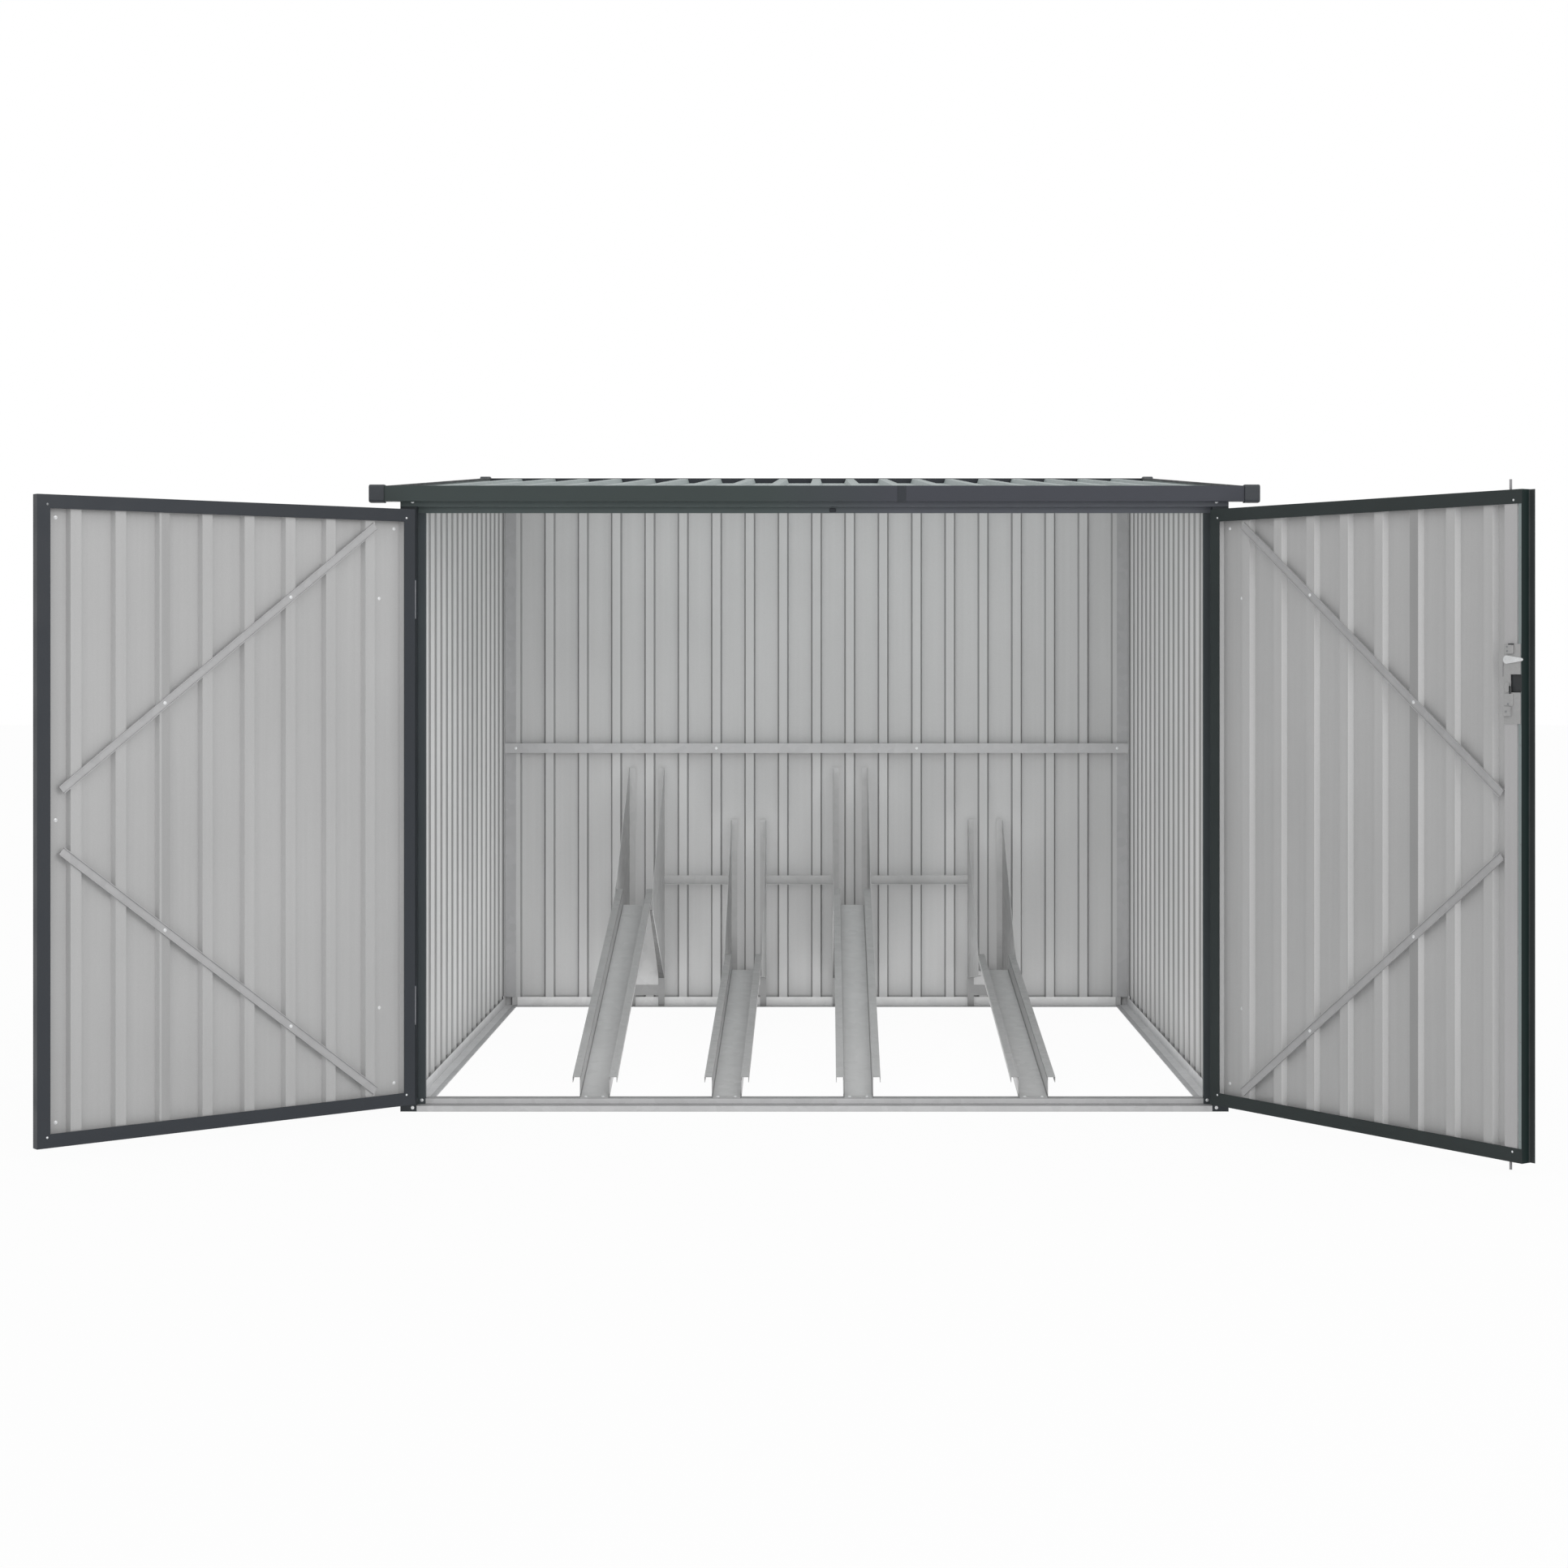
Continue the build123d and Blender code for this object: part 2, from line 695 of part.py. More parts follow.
def door_panel(open_angle, rib_start, latch_side):
    """Ribbed sheet held in the channels of the door's border, ribs inwards, with half a rib at the hinge."""
    rib_room = door_free - lock_stile_width - rib_foot - rib_start
    ribs = [rib_start + rib_pitch * step for step in range(int(rib_room // rib_pitch) + 1)]
    level = hinge_setback + frame_sheet
    half_rib = rib_start - rib_pitch
    line = [
        (door_edge + frame_sheet, level + rib_rise),
        (half_rib + rib_crest / 2, level + rib_rise),
    ]
    line += ribbed(half_rib + rib_foot, door_free - frame_sheet, ribs, level)
    with BuildPart() as panel:
        with BuildSketch(door_plan(open_angle, door_bottom + frame_sheet)):
            Polygon(*folded(line, skin), align=None)
        extrude(amount=door_height - 2 * frame_sheet)
        if latch_side:
            with BuildSketch(door_face_plane(open_angle, pan_inner + cut_overrun)):
                with Locations((latch_u, latch_height)):
                    Circle(spindle_radius + spindle_gap)
            extrude(amount=2 * cut_overrun, mode=Mode.SUBTRACT)
    return panel


def door_braces(open_angle, latch_side):
    """Two channel strips on the ribs, from the hinge side's corners to the middle of the free edge."""
    plan = door_plan(open_angle, 0)
    hinge_u = door_edge + door_face + brace_hinge_inset
    free_u = door_free - door_face - brace_free_inset
    if latch_side:
        free_u = door_free - lock_stile_width - brace_stile_gap
    reach = door_height / 2 - door_face - brace_end_drop
    half = brace_width / 2
    line = [(-half, brace_lip), (-half, 0), (half, 0), (half, brace_lip)]
    with BuildPart() as braces:
        for side in (1, -1):
            start = plan.from_local_coords((hinge_u, crest_face, door_centre_height + side * reach))
            end = plan.from_local_coords((free_u, crest_face, door_centre_height + side * brace_vertex_gap))
            along = (end - start).normalized()
            with BuildSketch(Plane(origin=start, x_dir=plan.y_dir.cross(along), z_dir=along)):
                Polygon(*folded(line, frame_sheet), align=None)
            extrude(amount=(end - start).length)
    return braces


knuckle_length = (hinge_height - 2 * hinge_end_gap) / 3


def hinge_post_leaves():
    """Leaves on the post, each with two knuckles and the pin that the door's knuckle turns on."""
    leaf_start = knuckle_radius + hinge_end_gap
    with BuildPart() as leaves:
        for height in hinge_heights:
            bottom = height - hinge_height / 2
            with BuildSketch(Plane(origin=(-hinge_x, hinge_y, bottom))):
                with Locations((-leaf_start, hinge_setback)):
                    Rectangle(post_leaf_width, hinge_leaf_sheet, align=(Align.MAX, Align.MAX))
                Circle(hinge_pin_radius)
            extrude(amount=hinge_height)
            for start in (bottom, bottom + hinge_height - knuckle_length):
                with BuildSketch(Plane(origin=(-hinge_x, hinge_y, start))):
                    Circle(knuckle_radius)
                    with Locations((0, hinge_setback)):
                        Rectangle(leaf_start, hinge_leaf_sheet, align=(Align.MAX, Align.MAX))
                extrude(amount=knuckle_length)
        mirror(about=Plane.YZ)
    return leaves


def hinge_door_leaves(open_angle):
    """Strap leaves on the door's outer face, each with the middle knuckle."""
    leaf_start = knuckle_radius + hinge_end_gap
    with BuildPart() as leaves:
        for height in hinge_heights:
            with BuildSketch(door_plan(open_angle, height - door_leaf_height / 2)):
                with Locations((leaf_start, hinge_setback)):
                    Rectangle(door_leaf_length - leaf_start, hinge_leaf_sheet, align=(Align.MIN, Align.MAX))
            extrude(amount=door_leaf_height)
            with BuildSketch(door_plan(open_angle, height - knuckle_length / 2)):
                Circle(knuckle_radius)
                with Locations((0, hinge_setback)):
                    Rectangle(leaf_start, hinge_leaf_sheet, align=(Align.MIN, Align.MAX))
                Circle(hinge_pin_radius + hinge_running_gap, mode=Mode.SUBTRACT)
            extrude(amount=knuckle_length)
    return leaves


save(hinge_post_leaves(), "hinge_post_leaves")


def save_mirrored(piece, name):
    """Write the mirror image of a piece that was drawn at the left-hand hinge."""
    with BuildPart() as mirrored:
        mirror(piece.part, about=Plane.YZ)
    save(mirrored, name)


save(door_frame(left_open_angle, False), "left_door_frame")
save(door_panel(left_open_angle, left_rib_start, False), "left_door_panel")
save(door_braces(left_open_angle, False), "left_door_braces")
save(hinge_door_leaves(left_open_angle), "left_hinge_door_leaves")
save_mirrored(door_frame(right_open_angle, True), "right_door_frame")
save_mirrored(door_panel(right_open_angle, right_rib_start, True), "right_door_panel")
save_mirrored(door_braces(right_open_angle, True), "right_door_braces")
save_mirrored(hinge_door_leaves(right_open_angle), "right_hinge_door_leaves")

# Astragal: a stepped strip on the right-hand door that covers the joint between the doors
with BuildPart() as astragal:
    astragal_back = hinge_setback - astragal_standoff
    astragal_line = [
        (door_free - astragal_base, hinge_setback - frame_sheet),
        (door_free - frame_sheet, hinge_setback - frame_sheet),
        (door_free - frame_sheet, astragal_back - frame_sheet),
        (door_free + astragal_lip, astragal_back - frame_sheet),
    ]
    with BuildSketch(door_plan(right_open_angle, door_bottom)):
        Polygon(*folded(astragal_line, frame_sheet), align=None)
    extrude(amount=door_height)
save_mirrored(astragal, "right_door_astragal")

# Latch: a lever turns a crank disc, whose two pins draw the rods in from the header and the sill
latch_centre = (latch_u, latch_height)
crank_offset = crank_radius * sin(radians(crank_rest_angle))

plate_end = door_free - latch_plate_edge_gap

with BuildPart() as lock_stile:
    stile_start = door_free - lock_stile_width
    stile_end = door_free - frame_sheet
    groove_end = stile_end - lock_stile_edge
    groove_start = groove_end - lock_stile_groove
    stile_level = stile_face - skin
    groove_level = stile_level - lock_stile_groove_depth
    stile_line = [
        (stile_start + skin, pan_inner),
        (stile_start + skin, stile_level),
        (groove_start, stile_level),
        (groove_start, groove_level),
        (groove_end, groove_level),
        (groove_end, stile_level),
        (stile_end, stile_level),
    ]
    with BuildSketch(door_plan(right_open_angle, door_bottom + frame_sheet)):
        Polygon(*folded(stile_line, skin), align=None)
    extrude(amount=door_height - 2 * frame_sheet)
    with BuildSketch(door_face_plane(right_open_angle, stile_face + cut_overrun)):
        with Locations((plate_end, latch_window_bottom)):
            Rectangle(latch_window_width, latch_window_height, align=(Align.MAX, Align.MIN))
        with Locations(latch_centre):
            Circle(spindle_radius + spindle_gap)
    extrude(amount=2 * cut_overrun, mode=Mode.SUBTRACT)
    notch_bottom = latch_height - rod_shoulder - 2 * rod_radius - lock_stile_notch_gap
    notch_top = latch_height + cam_radius + lock_stile_notch_gap
    with BuildSketch(door_plan(right_open_angle, notch_bottom)):
        with Locations((stile_start + skin, stile_level)):
            Rectangle(skin + cut_overrun, stile_level - pan_inner + cut_overrun, align=(Align.MAX, Align.MAX))
    extrude(amount=notch_top - notch_bottom, mode=Mode.SUBTRACT)
save_mirrored(lock_stile, "right_door_lock_stile")

with BuildPart() as latch_plate:
    with BuildSketch(door_face_plane(right_open_angle, door_inner)):
        with Locations((plate_end, latch_plate_bottom)):
            Rectangle(latch_plate_width, latch_plate_height, align=(Align.MAX, Align.MIN))
        with Locations((plate_end, latch_window_bottom)):
            window_size = (latch_window_width, latch_window_height)
            Rectangle(*window_size, align=(Align.MAX, Align.MIN), mode=Mode.SUBTRACT)
        with Locations(latch_centre):
            Circle(spindle_radius + spindle_gap, mode=Mode.SUBTRACT)
    extrude(amount=frame_sheet)
    with BuildSketch(door_face_plane(right_open_angle, door_inner)):
        with Locations((latch_u, latch_plate_bottom + guide_block_rise)):
            Rectangle(guide_block_width, guide_block_height, align=(Align.CENTER, Align.MIN))
    extrude(amount=-guide_block_depth)
save_mirrored(latch_plate, "latch_plate")

with BuildPart() as lock_case:
    case_start = latch_u + lock_case_gap
    case_end = door_free - frame_sheet - lock_case_edge_gap
    with BuildSketch(door_face_plane(right_open_angle, pan_inner)):
        with Locations((case_start, lock_case_bottom)):
            Rectangle(case_end - case_start, lock_case_height, align=(Align.MIN, Align.MIN))
    extrude(amount=-lock_case_depth)
save_mirrored(lock_case, "lock_case")

cam_front = rod_depth - rod_eye_sheet / 2 - cam_gap

with BuildPart() as latch_cam:
    with BuildSketch(door_face_plane(right_open_angle, cam_front)):
        with Locations(latch_centre):
            Circle(cam_radius)
    extrude(amount=cam_sheet)
    tongue_front = door_inner + tongue_gap + tongue_sheet
    lever_back = hinge_setback - lever_face_gap
    with BuildSketch(door_face_plane(right_open_angle, tongue_front)):
        with Locations(latch_centre):
            Circle(spindle_radius)
    extrude(amount=tongue_front - lever_back)
    with BuildSketch(door_face_plane(right_open_angle, tongue_front)):
        with Locations(latch_centre):
            Circle(tongue_hub)
        with Locations((latch_u + tongue_length - tongue_tip, latch_height)):
            Circle(tongue_tip)
        make_hull()
    extrude(amount=tongue_sheet)
    with BuildSketch(door_face_plane(right_open_angle, cam_front)):
        with Locations(
            (latch_u + crank_offset, latch_height + crank_offset),
            (latch_u - crank_offset, latch_height - crank_offset),
        ):
            Circle(crank_pin_radius)
    extrude(amount=-crank_pin_length)
save_mirrored(latch_cam, "latch_cam")

with BuildPart() as latch_lever:
    with BuildSketch(door_face_plane(right_open_angle, lever_back)):
        with Locations(latch_centre):
            Circle(lever_hub_radius)
    extrude(amount=lever_hub_length)
    with BuildSketch(door_face_plane(right_open_angle, lever_back - lever_hub_length + lever_sheet)):
        with Locations(latch_centre):
            Circle(lever_hub_radius)
        with Locations((latch_u, latch_height - lever_length + lever_end_radius)):
            Circle(lever_end_radius)
        make_hull()
    extrude(amount=lever_sheet)
save_mirrored(latch_lever, "latch_lever")


def latch_rod(side, tip_height):
    """Rod with a slotted eye at one side of the crank. Side is 1 for the upper rod, -1 for the lower."""
    slot_half = crank_pin_radius + crank_gap
    slot_start = crank_offset - slot_half
    slot_end = crank_radius + slot_half
    eye_bottom = crank_offset - slot_half - rod_eye_margin
    shoulder = rod_shoulder + 2 * rod_radius
    with BuildPart() as rod:
        with BuildSketch(door_face_plane(right_open_angle, rod_depth + rod_eye_sheet / 2)):
            eye = [
                (spindle_radius + crank_gap, eye_bottom),
                (slot_end + rod_eye_margin, eye_bottom),
                (slot_end + rod_eye_margin, shoulder),
                (-rod_radius, shoulder),
                (-rod_radius, rod_shoulder),
                (spindle_radius + crank_gap, rod_shoulder),
            ]
            Polygon(*[(latch_u + side * x, latch_height + side * y) for x, y in eye], align=None)
            slot_middle = (slot_start + slot_end) / 2
            with Locations((latch_u + side * slot_middle, latch_height + side * crank_offset)):
                Rectangle(slot_end - slot_start, 2 * slot_half, mode=Mode.SUBTRACT)
        extrude(amount=rod_eye_sheet)
        with BuildSketch(door_plan(right_open_angle, latch_height + side * rod_shoulder)):
            with Locations((latch_u, rod_depth)):
                Circle(rod_radius)
        extrude(amount=tip_height - latch_height - side * rod_shoulder)
    return rod


save_mirrored(latch_rod(1, door_bottom + door_height + rod_top_reach), "top_latch_rod")
save_mirrored(latch_rod(-1, door_bottom - rod_bottom_reach), "bottom_latch_rod")
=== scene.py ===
import json
import math

import bmesh
import bpy
from mathutils import Matrix, Vector


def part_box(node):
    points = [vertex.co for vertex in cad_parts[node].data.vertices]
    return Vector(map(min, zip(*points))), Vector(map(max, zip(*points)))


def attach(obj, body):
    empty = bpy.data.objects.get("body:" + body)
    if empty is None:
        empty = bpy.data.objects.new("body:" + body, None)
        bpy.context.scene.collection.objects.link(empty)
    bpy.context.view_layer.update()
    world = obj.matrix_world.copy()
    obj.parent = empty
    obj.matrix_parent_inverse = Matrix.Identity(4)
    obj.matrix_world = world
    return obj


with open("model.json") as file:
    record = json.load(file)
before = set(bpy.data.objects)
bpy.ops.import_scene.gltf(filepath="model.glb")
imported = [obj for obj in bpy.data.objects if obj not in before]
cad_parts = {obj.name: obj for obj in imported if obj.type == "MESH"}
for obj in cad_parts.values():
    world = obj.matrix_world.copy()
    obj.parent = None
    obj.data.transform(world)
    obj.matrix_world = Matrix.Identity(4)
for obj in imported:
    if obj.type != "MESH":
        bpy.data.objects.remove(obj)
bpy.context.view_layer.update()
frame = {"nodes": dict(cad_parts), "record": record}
nodes = frame["nodes"]
scene = bpy.context.scene

# Directions of the part's frame
ACROSS = (1.0, 0.0, 0.0)
BACK = (0.0, 1.0, 0.0)
TO_FRONT = (0.0, -1.0, 0.0)
UP = (0.0, 0.0, 1.0)
NEARLY_UP = 0.9

# Places read from the frame, in metres
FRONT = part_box("base_front_sill")[0].y
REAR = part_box("base_side_channels")[1].y
BASE_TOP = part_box("base_front_sill")[1].z
POST_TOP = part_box("front_posts")[1].z
ROOF_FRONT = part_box("front_header")[1].z
GIRT_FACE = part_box("rear_girt")[0].y
SIDE_CREST = abs(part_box("left_wall")[1].x)

# Sizes of the shelter, in metres, as in the CAD source
SHEET = 0.0015
SILL_LIP = 0.0145
REBATE = 0.028
CHANNEL_EDGE = 0.959
ROOF_RISE = 0.160
ROOF_SLOPE = ROOF_RISE / (REAR - FRONT)
VERGE_RISE = 0.019
VERGE_HEM = 0.006
STRIKE_X = 0.045

# The doors: faces count inwards from the hinge axis, and places along a door count from it
SIDES = {"left_door": -1.0, "right_door": 1.0}
OPEN_ANGLES = {"left_door": math.radians(140.5), "right_door": math.radians(125.3)}
HINGE_X = 0.9815
HINGE_Y = -1.041
PAN = 0.0085
BRACE = 0.024
STILE = 0.0265
DOOR_INNER = 0.028
LAP_RIB = 0.664
FREE_STRIP = 0.9645

# The rack of wheel rails and wheel holders
RACK_NUMBERS = range(1, 5)
RAIL_INSET = 0.056
RAIL_START = FRONT + RAIL_INSET
RAIL_WALL = 0.049
RAIL_FLOOR = 0.074


# Places on the doors and in the rack

def hinge_place(body, height=0.0):
    """Point on a door's hinge axis."""
    return Vector((SIDES[body] * HINGE_X, HINGE_Y, height))


def door_axes(body):
    """Directions of a door at rest: along it from the hinge, and out of its inner face."""
    angle = OPEN_ANGLES[body]
    side = SIDES[body]
    along = Vector((-side * math.cos(angle), -math.sin(angle), 0.0))
    inward = Vector((-side * math.sin(angle), math.cos(angle), 0.0))
    return along, inward


def facing(place, normal):
    """Frame at a place whose z axis is the normal. Its y axis leans up, or back on a level face."""
    normal = Vector(normal).normalized()
    lean = Vector(UP) if abs(normal.z) < NEARLY_UP else Vector(BACK)
    x_axis = lean.cross(normal).normalized()
    y_axis = normal.cross(x_axis)
    return Matrix.Translation(place) @ Matrix((x_axis, y_axis, normal)).transposed().to_4x4()


def on_door(body, distance, depth, height):
    """Frame on a door: x along the door, y up and z out of its inner face."""
    along, inward = door_axes(body)
    return facing(hinge_place(body, height) + along * distance + inward * depth, inward)


def middle_of(node):
    """Middle of a node from side to side."""
    low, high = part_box(node)
    return (low.x + high.x) / 2


def rail_end(number):
    """Height of a rail's floor at its far end, in the wheel holder."""
    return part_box(f"bike_rail_{number}")[1].z - RAIL_WALL


def both_sides(distance):
    return (-distance, distance)


# Nodes of the materials
RISE = (0.0, 1.0)
FALL = (1.0, 0.0)
FULL = (0.0, 1.0)


def new_material(name):
    """Material with its node tree and its main shader."""
    material = bpy.data.materials.new(name)
    material.use_nodes = True
    tree = material.node_tree
    return material, tree, tree.nodes["Principled BSDF"]


def join(tree, source, target):
    tree.links.new(source, target)


def coordinate(tree, kind):
    return tree.nodes.new("ShaderNodeTexCoord").outputs[kind]


def noise(tree, scale, detail=2.0, stretch=(1.0, 1.0, 1.0)):
    """Noise in the part's own frame, stretched along its axes."""
    mapping = tree.nodes.new("ShaderNodeMapping")
    mapping.inputs["Scale"].default_value = stretch
    join(tree, coordinate(tree, "Object"), mapping.inputs["Vector"])
    node = tree.nodes.new("ShaderNodeTexNoise")
    node.inputs["Scale"].default_value = scale
    node.inputs["Detail"].default_value = detail
    join(tree, mapping.outputs["Vector"], node.inputs["Vector"])
    return node.outputs["Fac"]


def spread(tree, source, to, over=(0.3, 0.7)):
    """A value spread from one range to another, held at its ends."""
    node = tree.nodes.new("ShaderNodeMapRange")
    for name, value in zip(("From Min", "From Max", "To Min", "To Max"), (*over, *to)):
        node.inputs[name].default_value = value
    join(tree, source, node.inputs["Value"])
    return node.outputs["Result"]


def math_node(tree, operation, *values):
    """Math of one or two values, which may be numbers."""
    node = tree.nodes.new("ShaderNodeMath")
    node.operation = operation
    for socket, value in zip(node.inputs, values):
        if isinstance(value, (int, float)):
            socket.default_value = value
        else:
            join(tree, value, socket)
    return node.outputs["Value"]


def product(tree, values):
    result = values[0]
    for value in values[1:]:
        result = math_node(tree, "MULTIPLY", result, value)
    return result


def absolute(tree, value):
    return math_node(tree, "ABSOLUTE", value)


def distance_from(tree, value, middle):
    """How far a value lies from a middle, on either side."""
    return absolute(tree, math_node(tree, "SUBTRACT", value, middle))


def dot(tree, vector, axis):
    """Share of a vector along an axis, which may be fixed."""
    node = tree.nodes.new("ShaderNodeVectorMath")
    node.operation = "DOT_PRODUCT"
    join(tree, vector, node.inputs[0])
    if isinstance(axis, bpy.types.NodeSocket):
        join(tree, axis, node.inputs[1])
    else:
        node.inputs[1].default_value = axis
    return node.outputs["Value"]


def place_along(tree, axis):
    """Place of a point along an axis of the part's frame."""
    return dot(tree, coordinate(tree, "Object"), axis)


def turned_to(tree, axis):
    """How far a face is turned to an axis of the part's frame: 1 when it looks along it."""
    return dot(tree, coordinate(tree, "Normal"), axis)


def shaded(tree, colour, shade):
    """The colour times a shade round 1."""
    node = tree.nodes.new("ShaderNodeVectorMath")
    node.operation = "SCALE"
    node.inputs[0].default_value = colour
    join(tree, shade, node.inputs["Scale"])
    return node.outputs["Vector"]


def mixed(tree, share, a, b):
    """Mix of two colours. Either may be a fixed colour."""
    node = tree.nodes.new("ShaderNodeMix")
    node.data_type = "RGBA"
    join(tree, share, node.inputs["Factor"])
    for socket, value in (("A", a), ("B", b)):
        if isinstance(value, tuple):
            node.inputs[socket].default_value = (*value, 1.0)
        else:
            join(tree, value, node.inputs[socket])
    return node.outputs["Result"]


def zoned(tree, colour, shade, zone):
    """The shaded colour, and another one in a zone where there is one."""
    base = shaded(tree, colour, shade)
    if not zone:
        return base
    share, zone_colour = zone
    return mixed(tree, share(tree), base, shaded(tree, zone_colour, shade))


def bump(tree, height, strength, depth, normal=None):
    """Bumped normal, over another one if it is given."""
    node = tree.nodes.new("ShaderNodeBump")
    node.inputs["Strength"].default_value = strength
    node.inputs["Distance"].default_value = depth
    join(tree, height, node.inputs["Height"])
    if normal:
        join(tree, normal, node.inputs["Normal"])
    return node.outputs["Normal"]


def rounded_normal(tree, radius):
    node = tree.nodes.new("ShaderNodeBevel")
    node.samples = 2
    node.inputs["Radius"].default_value = radius
    return node.outputs["Normal"]


# Materials

def coated_sheet(name, colour, flats, web_painted_shading=1.0, zone=None, pattern=None):
    """Coated steel sheet with a faint cloud, roller streaks and oil canning.

    The flats of its ribs look along the given axis; their webs get a painted shade, or a painted light where
    the value is above 1. A zone has another colour, and a pattern shades the whole.
    """
    material, tree, shader = new_material(name)
    cloud = noise(tree, scale=2.6)
    streak = noise(tree, scale=3.0, stretch=(26.0, 26.0, 0.5))
    wave = noise(tree, scale=5.0, detail=1.0, stretch=(1.0, 1.0, 0.35))
    grain = noise(tree, scale=420.0, detail=0.0)
    flat = absolute(tree, turned_to(tree, flats))
    shades = [
        spread(tree, cloud, to=(0.97, 1.03)),
        spread(tree, streak, to=(0.98, 1.02)),
        spread(tree, grain, to=(0.985, 1.015)),
        # Painted shade on the ribs' webs, or painted light where the web value is above 1
        spread(tree, flat, to=(web_painted_shading, 1.0), over=(0.60, 0.95)),
    ]
    if pattern:
        shades.append(pattern(tree))
    join(tree, zoned(tree, colour, product(tree, shades), zone), shader.inputs["Base Color"])
    join(tree, spread(tree, streak, to=(0.44, 0.58)), shader.inputs["Roughness"])
    shader.inputs["Specular IOR Level"].default_value = 0.35
    normal = bump(tree, wave, strength=0.10, depth=0.004)
    normal = bump(tree, grain, strength=0.10, depth=0.0004, normal=normal)
    join(tree, normal, shader.inputs["Normal"])
    return material


def galvanised(name, colour, metallic=0.1, spangle=46.0, pattern=None):
    """Hot-dip zinc: flat crystals of slightly different shade, and a soft cloud. A pattern shades it."""
    material, tree, shader = new_material(name)
    cells = tree.nodes.new("ShaderNodeTexVoronoi")
    cells.inputs["Scale"].default_value = spangle
    join(tree, coordinate(tree, "Object"), cells.inputs["Vector"])
    tone = tree.nodes.new("ShaderNodeSeparateColor")
    join(tree, cells.outputs["Color"], tone.inputs["Color"])
    cloud = noise(tree, scale=4.0)
    shades = [
        spread(tree, tone.outputs["Red"], to=(0.965, 1.035), over=FULL),
        spread(tree, cloud, to=(0.97, 1.03)),
    ]
    if pattern:
        shades.append(pattern(tree))
    join(tree, shaded(tree, colour, product(tree, shades)), shader.inputs["Base Color"])
    join(tree, spread(tree, tone.outputs["Green"], to=(0.38, 0.54), over=FULL), shader.inputs["Roughness"])
    shader.inputs["Metallic"].default_value = metallic
    normal = bump(tree, cells.outputs["Distance"], strength=0.04, depth=0.0006)
    join(tree, normal, shader.inputs["Normal"])
    return material


def powder_paint(name, colour, zone=None, gloss=0.42, rubbed=0.8):
    """Powder coat with orange peel, faint dust and lighter rubbed edges. A zone has another colour."""
    material, tree, shader = new_material(name)
    cloud = noise(tree, scale=3.0)
    dust = noise(tree, scale=14.0, detail=3.0)
    peel = noise(tree, scale=420.0, detail=0.0)
    rounded = rounded_normal(tree, radius=0.002)
    geometry = tree.nodes.new("ShaderNodeNewGeometry")
    edge = spread(tree, dot(tree, rounded, geometry.outputs["Normal"]), to=FALL, over=(0.80, 0.995))
    rub = product(tree, [edge, spread(tree, dust, to=(0.0, rubbed), over=(0.42, 0.68))])
    shade = product(tree, [spread(tree, cloud, to=(0.95, 1.05)), spread(tree, dust, to=(0.96, 1.05))])
    paint = zoned(tree, colour, shade, zone)
    join(tree, mixed(tree, rub, paint, RUBBED_PAINT), shader.inputs["Base Color"])
    join(tree, spread(tree, dust, to=(0.42, 0.55)), shader.inputs["Roughness"])
    shader.inputs["Specular IOR Level"].default_value = gloss
    normal = bump(tree, peel, strength=0.10, depth=0.0004, normal=rounded)
    join(tree, normal, shader.inputs["Normal"])
    return material


def moulded(name, colour):
    """Moulded plastic with a fine spark-eroded grain."""
    material, tree, shader = new_material(name)
    grain = noise(tree, scale=900.0, detail=1.0)
    cloud = noise(tree, scale=9.0)
    join(tree, shaded(tree, colour, spread(tree, cloud, to=(0.92, 1.08))), shader.inputs["Base Color"])
    join(tree, spread(tree, grain, to=(0.48, 0.62)), shader.inputs["Roughness"])
    normal = bump(tree, grain, strength=0.18, depth=0.0003, normal=rounded_normal(tree, radius=0.001))
    join(tree, normal, shader.inputs["Normal"])
    return material


def plated(name, colour, metallic):
    """Bright zinc plating with fine marks."""
    material, tree, shader = new_material(name)
    cloud = noise(tree, scale=60.0)
    grain = noise(tree, scale=1500.0, detail=1.0)
    join(tree, shaded(tree, colour, spread(tree, cloud, to=(0.93, 1.06))), shader.inputs["Base Color"])
    join(tree, spread(tree, grain, to=(0.26, 0.42)), shader.inputs["Roughness"])
    shader.inputs["Metallic"].default_value = metallic
    normal = bump(tree, grain, strength=0.06, depth=0.0002)
    join(tree, normal, shader.inputs["Normal"])
    return material


# Zones of another colour, some of them painted shade or painted light
SHARP = 0.001
TURNED_IN = -0.5
CREST_HALF = 0.012
CREST_DEPTH = 0.0015
CREST_BORDER = 0.0015
REBATE_LEAD = 0.004
REBATE_BORDER = 0.002
RIGHT_START = -0.12
RIGHT_END = 0.20


def beyond(tree, value, start, border=SHARP):
    """Rises from 0 to 1 over a border that starts at a place."""
    return spread(tree, value, to=RISE, over=(start, start + border))


def short_of(tree, value, start, border=SHARP):
    """Falls from 1 to 0 over a border that starts at a place."""
    return spread(tree, value, to=FALL, over=(start, start + border))


def inside_verge(tree):
    """1 on the faces of the roof's side trims that look inwards, below their hem."""
    outward = math_node(tree, "MULTIPLY", place_along(tree, ACROSS), turned_to(tree, ACROSS))
    inward = math_node(tree, "LESS_THAN", outward, TURNED_IN)
    height = place_along(tree, (0.0, -ROOF_SLOPE, 1.0))
    hem = ROOF_FRONT - ROOF_SLOPE * FRONT + VERGE_RISE - VERGE_HEM
    return product(tree, [inward, math_node(tree, "LESS_THAN", height, hem)])


def free_side_painted_shade(tree):
    """1 on the right door's faces that look along it, away from its hinges, which get a painted shade."""
    return spread(tree, turned_to(tree, RIGHT_ALONG), to=RISE, over=(0.6, 0.9))


def free_edge(tree):
    """1 on the strip of the lock stile next to the right door's free edge."""
    start = RIGHT_ALONG.dot(hinge_place("right_door")) + FREE_STRIP
    return beyond(tree, place_along(tree, RIGHT_ALONG), start)


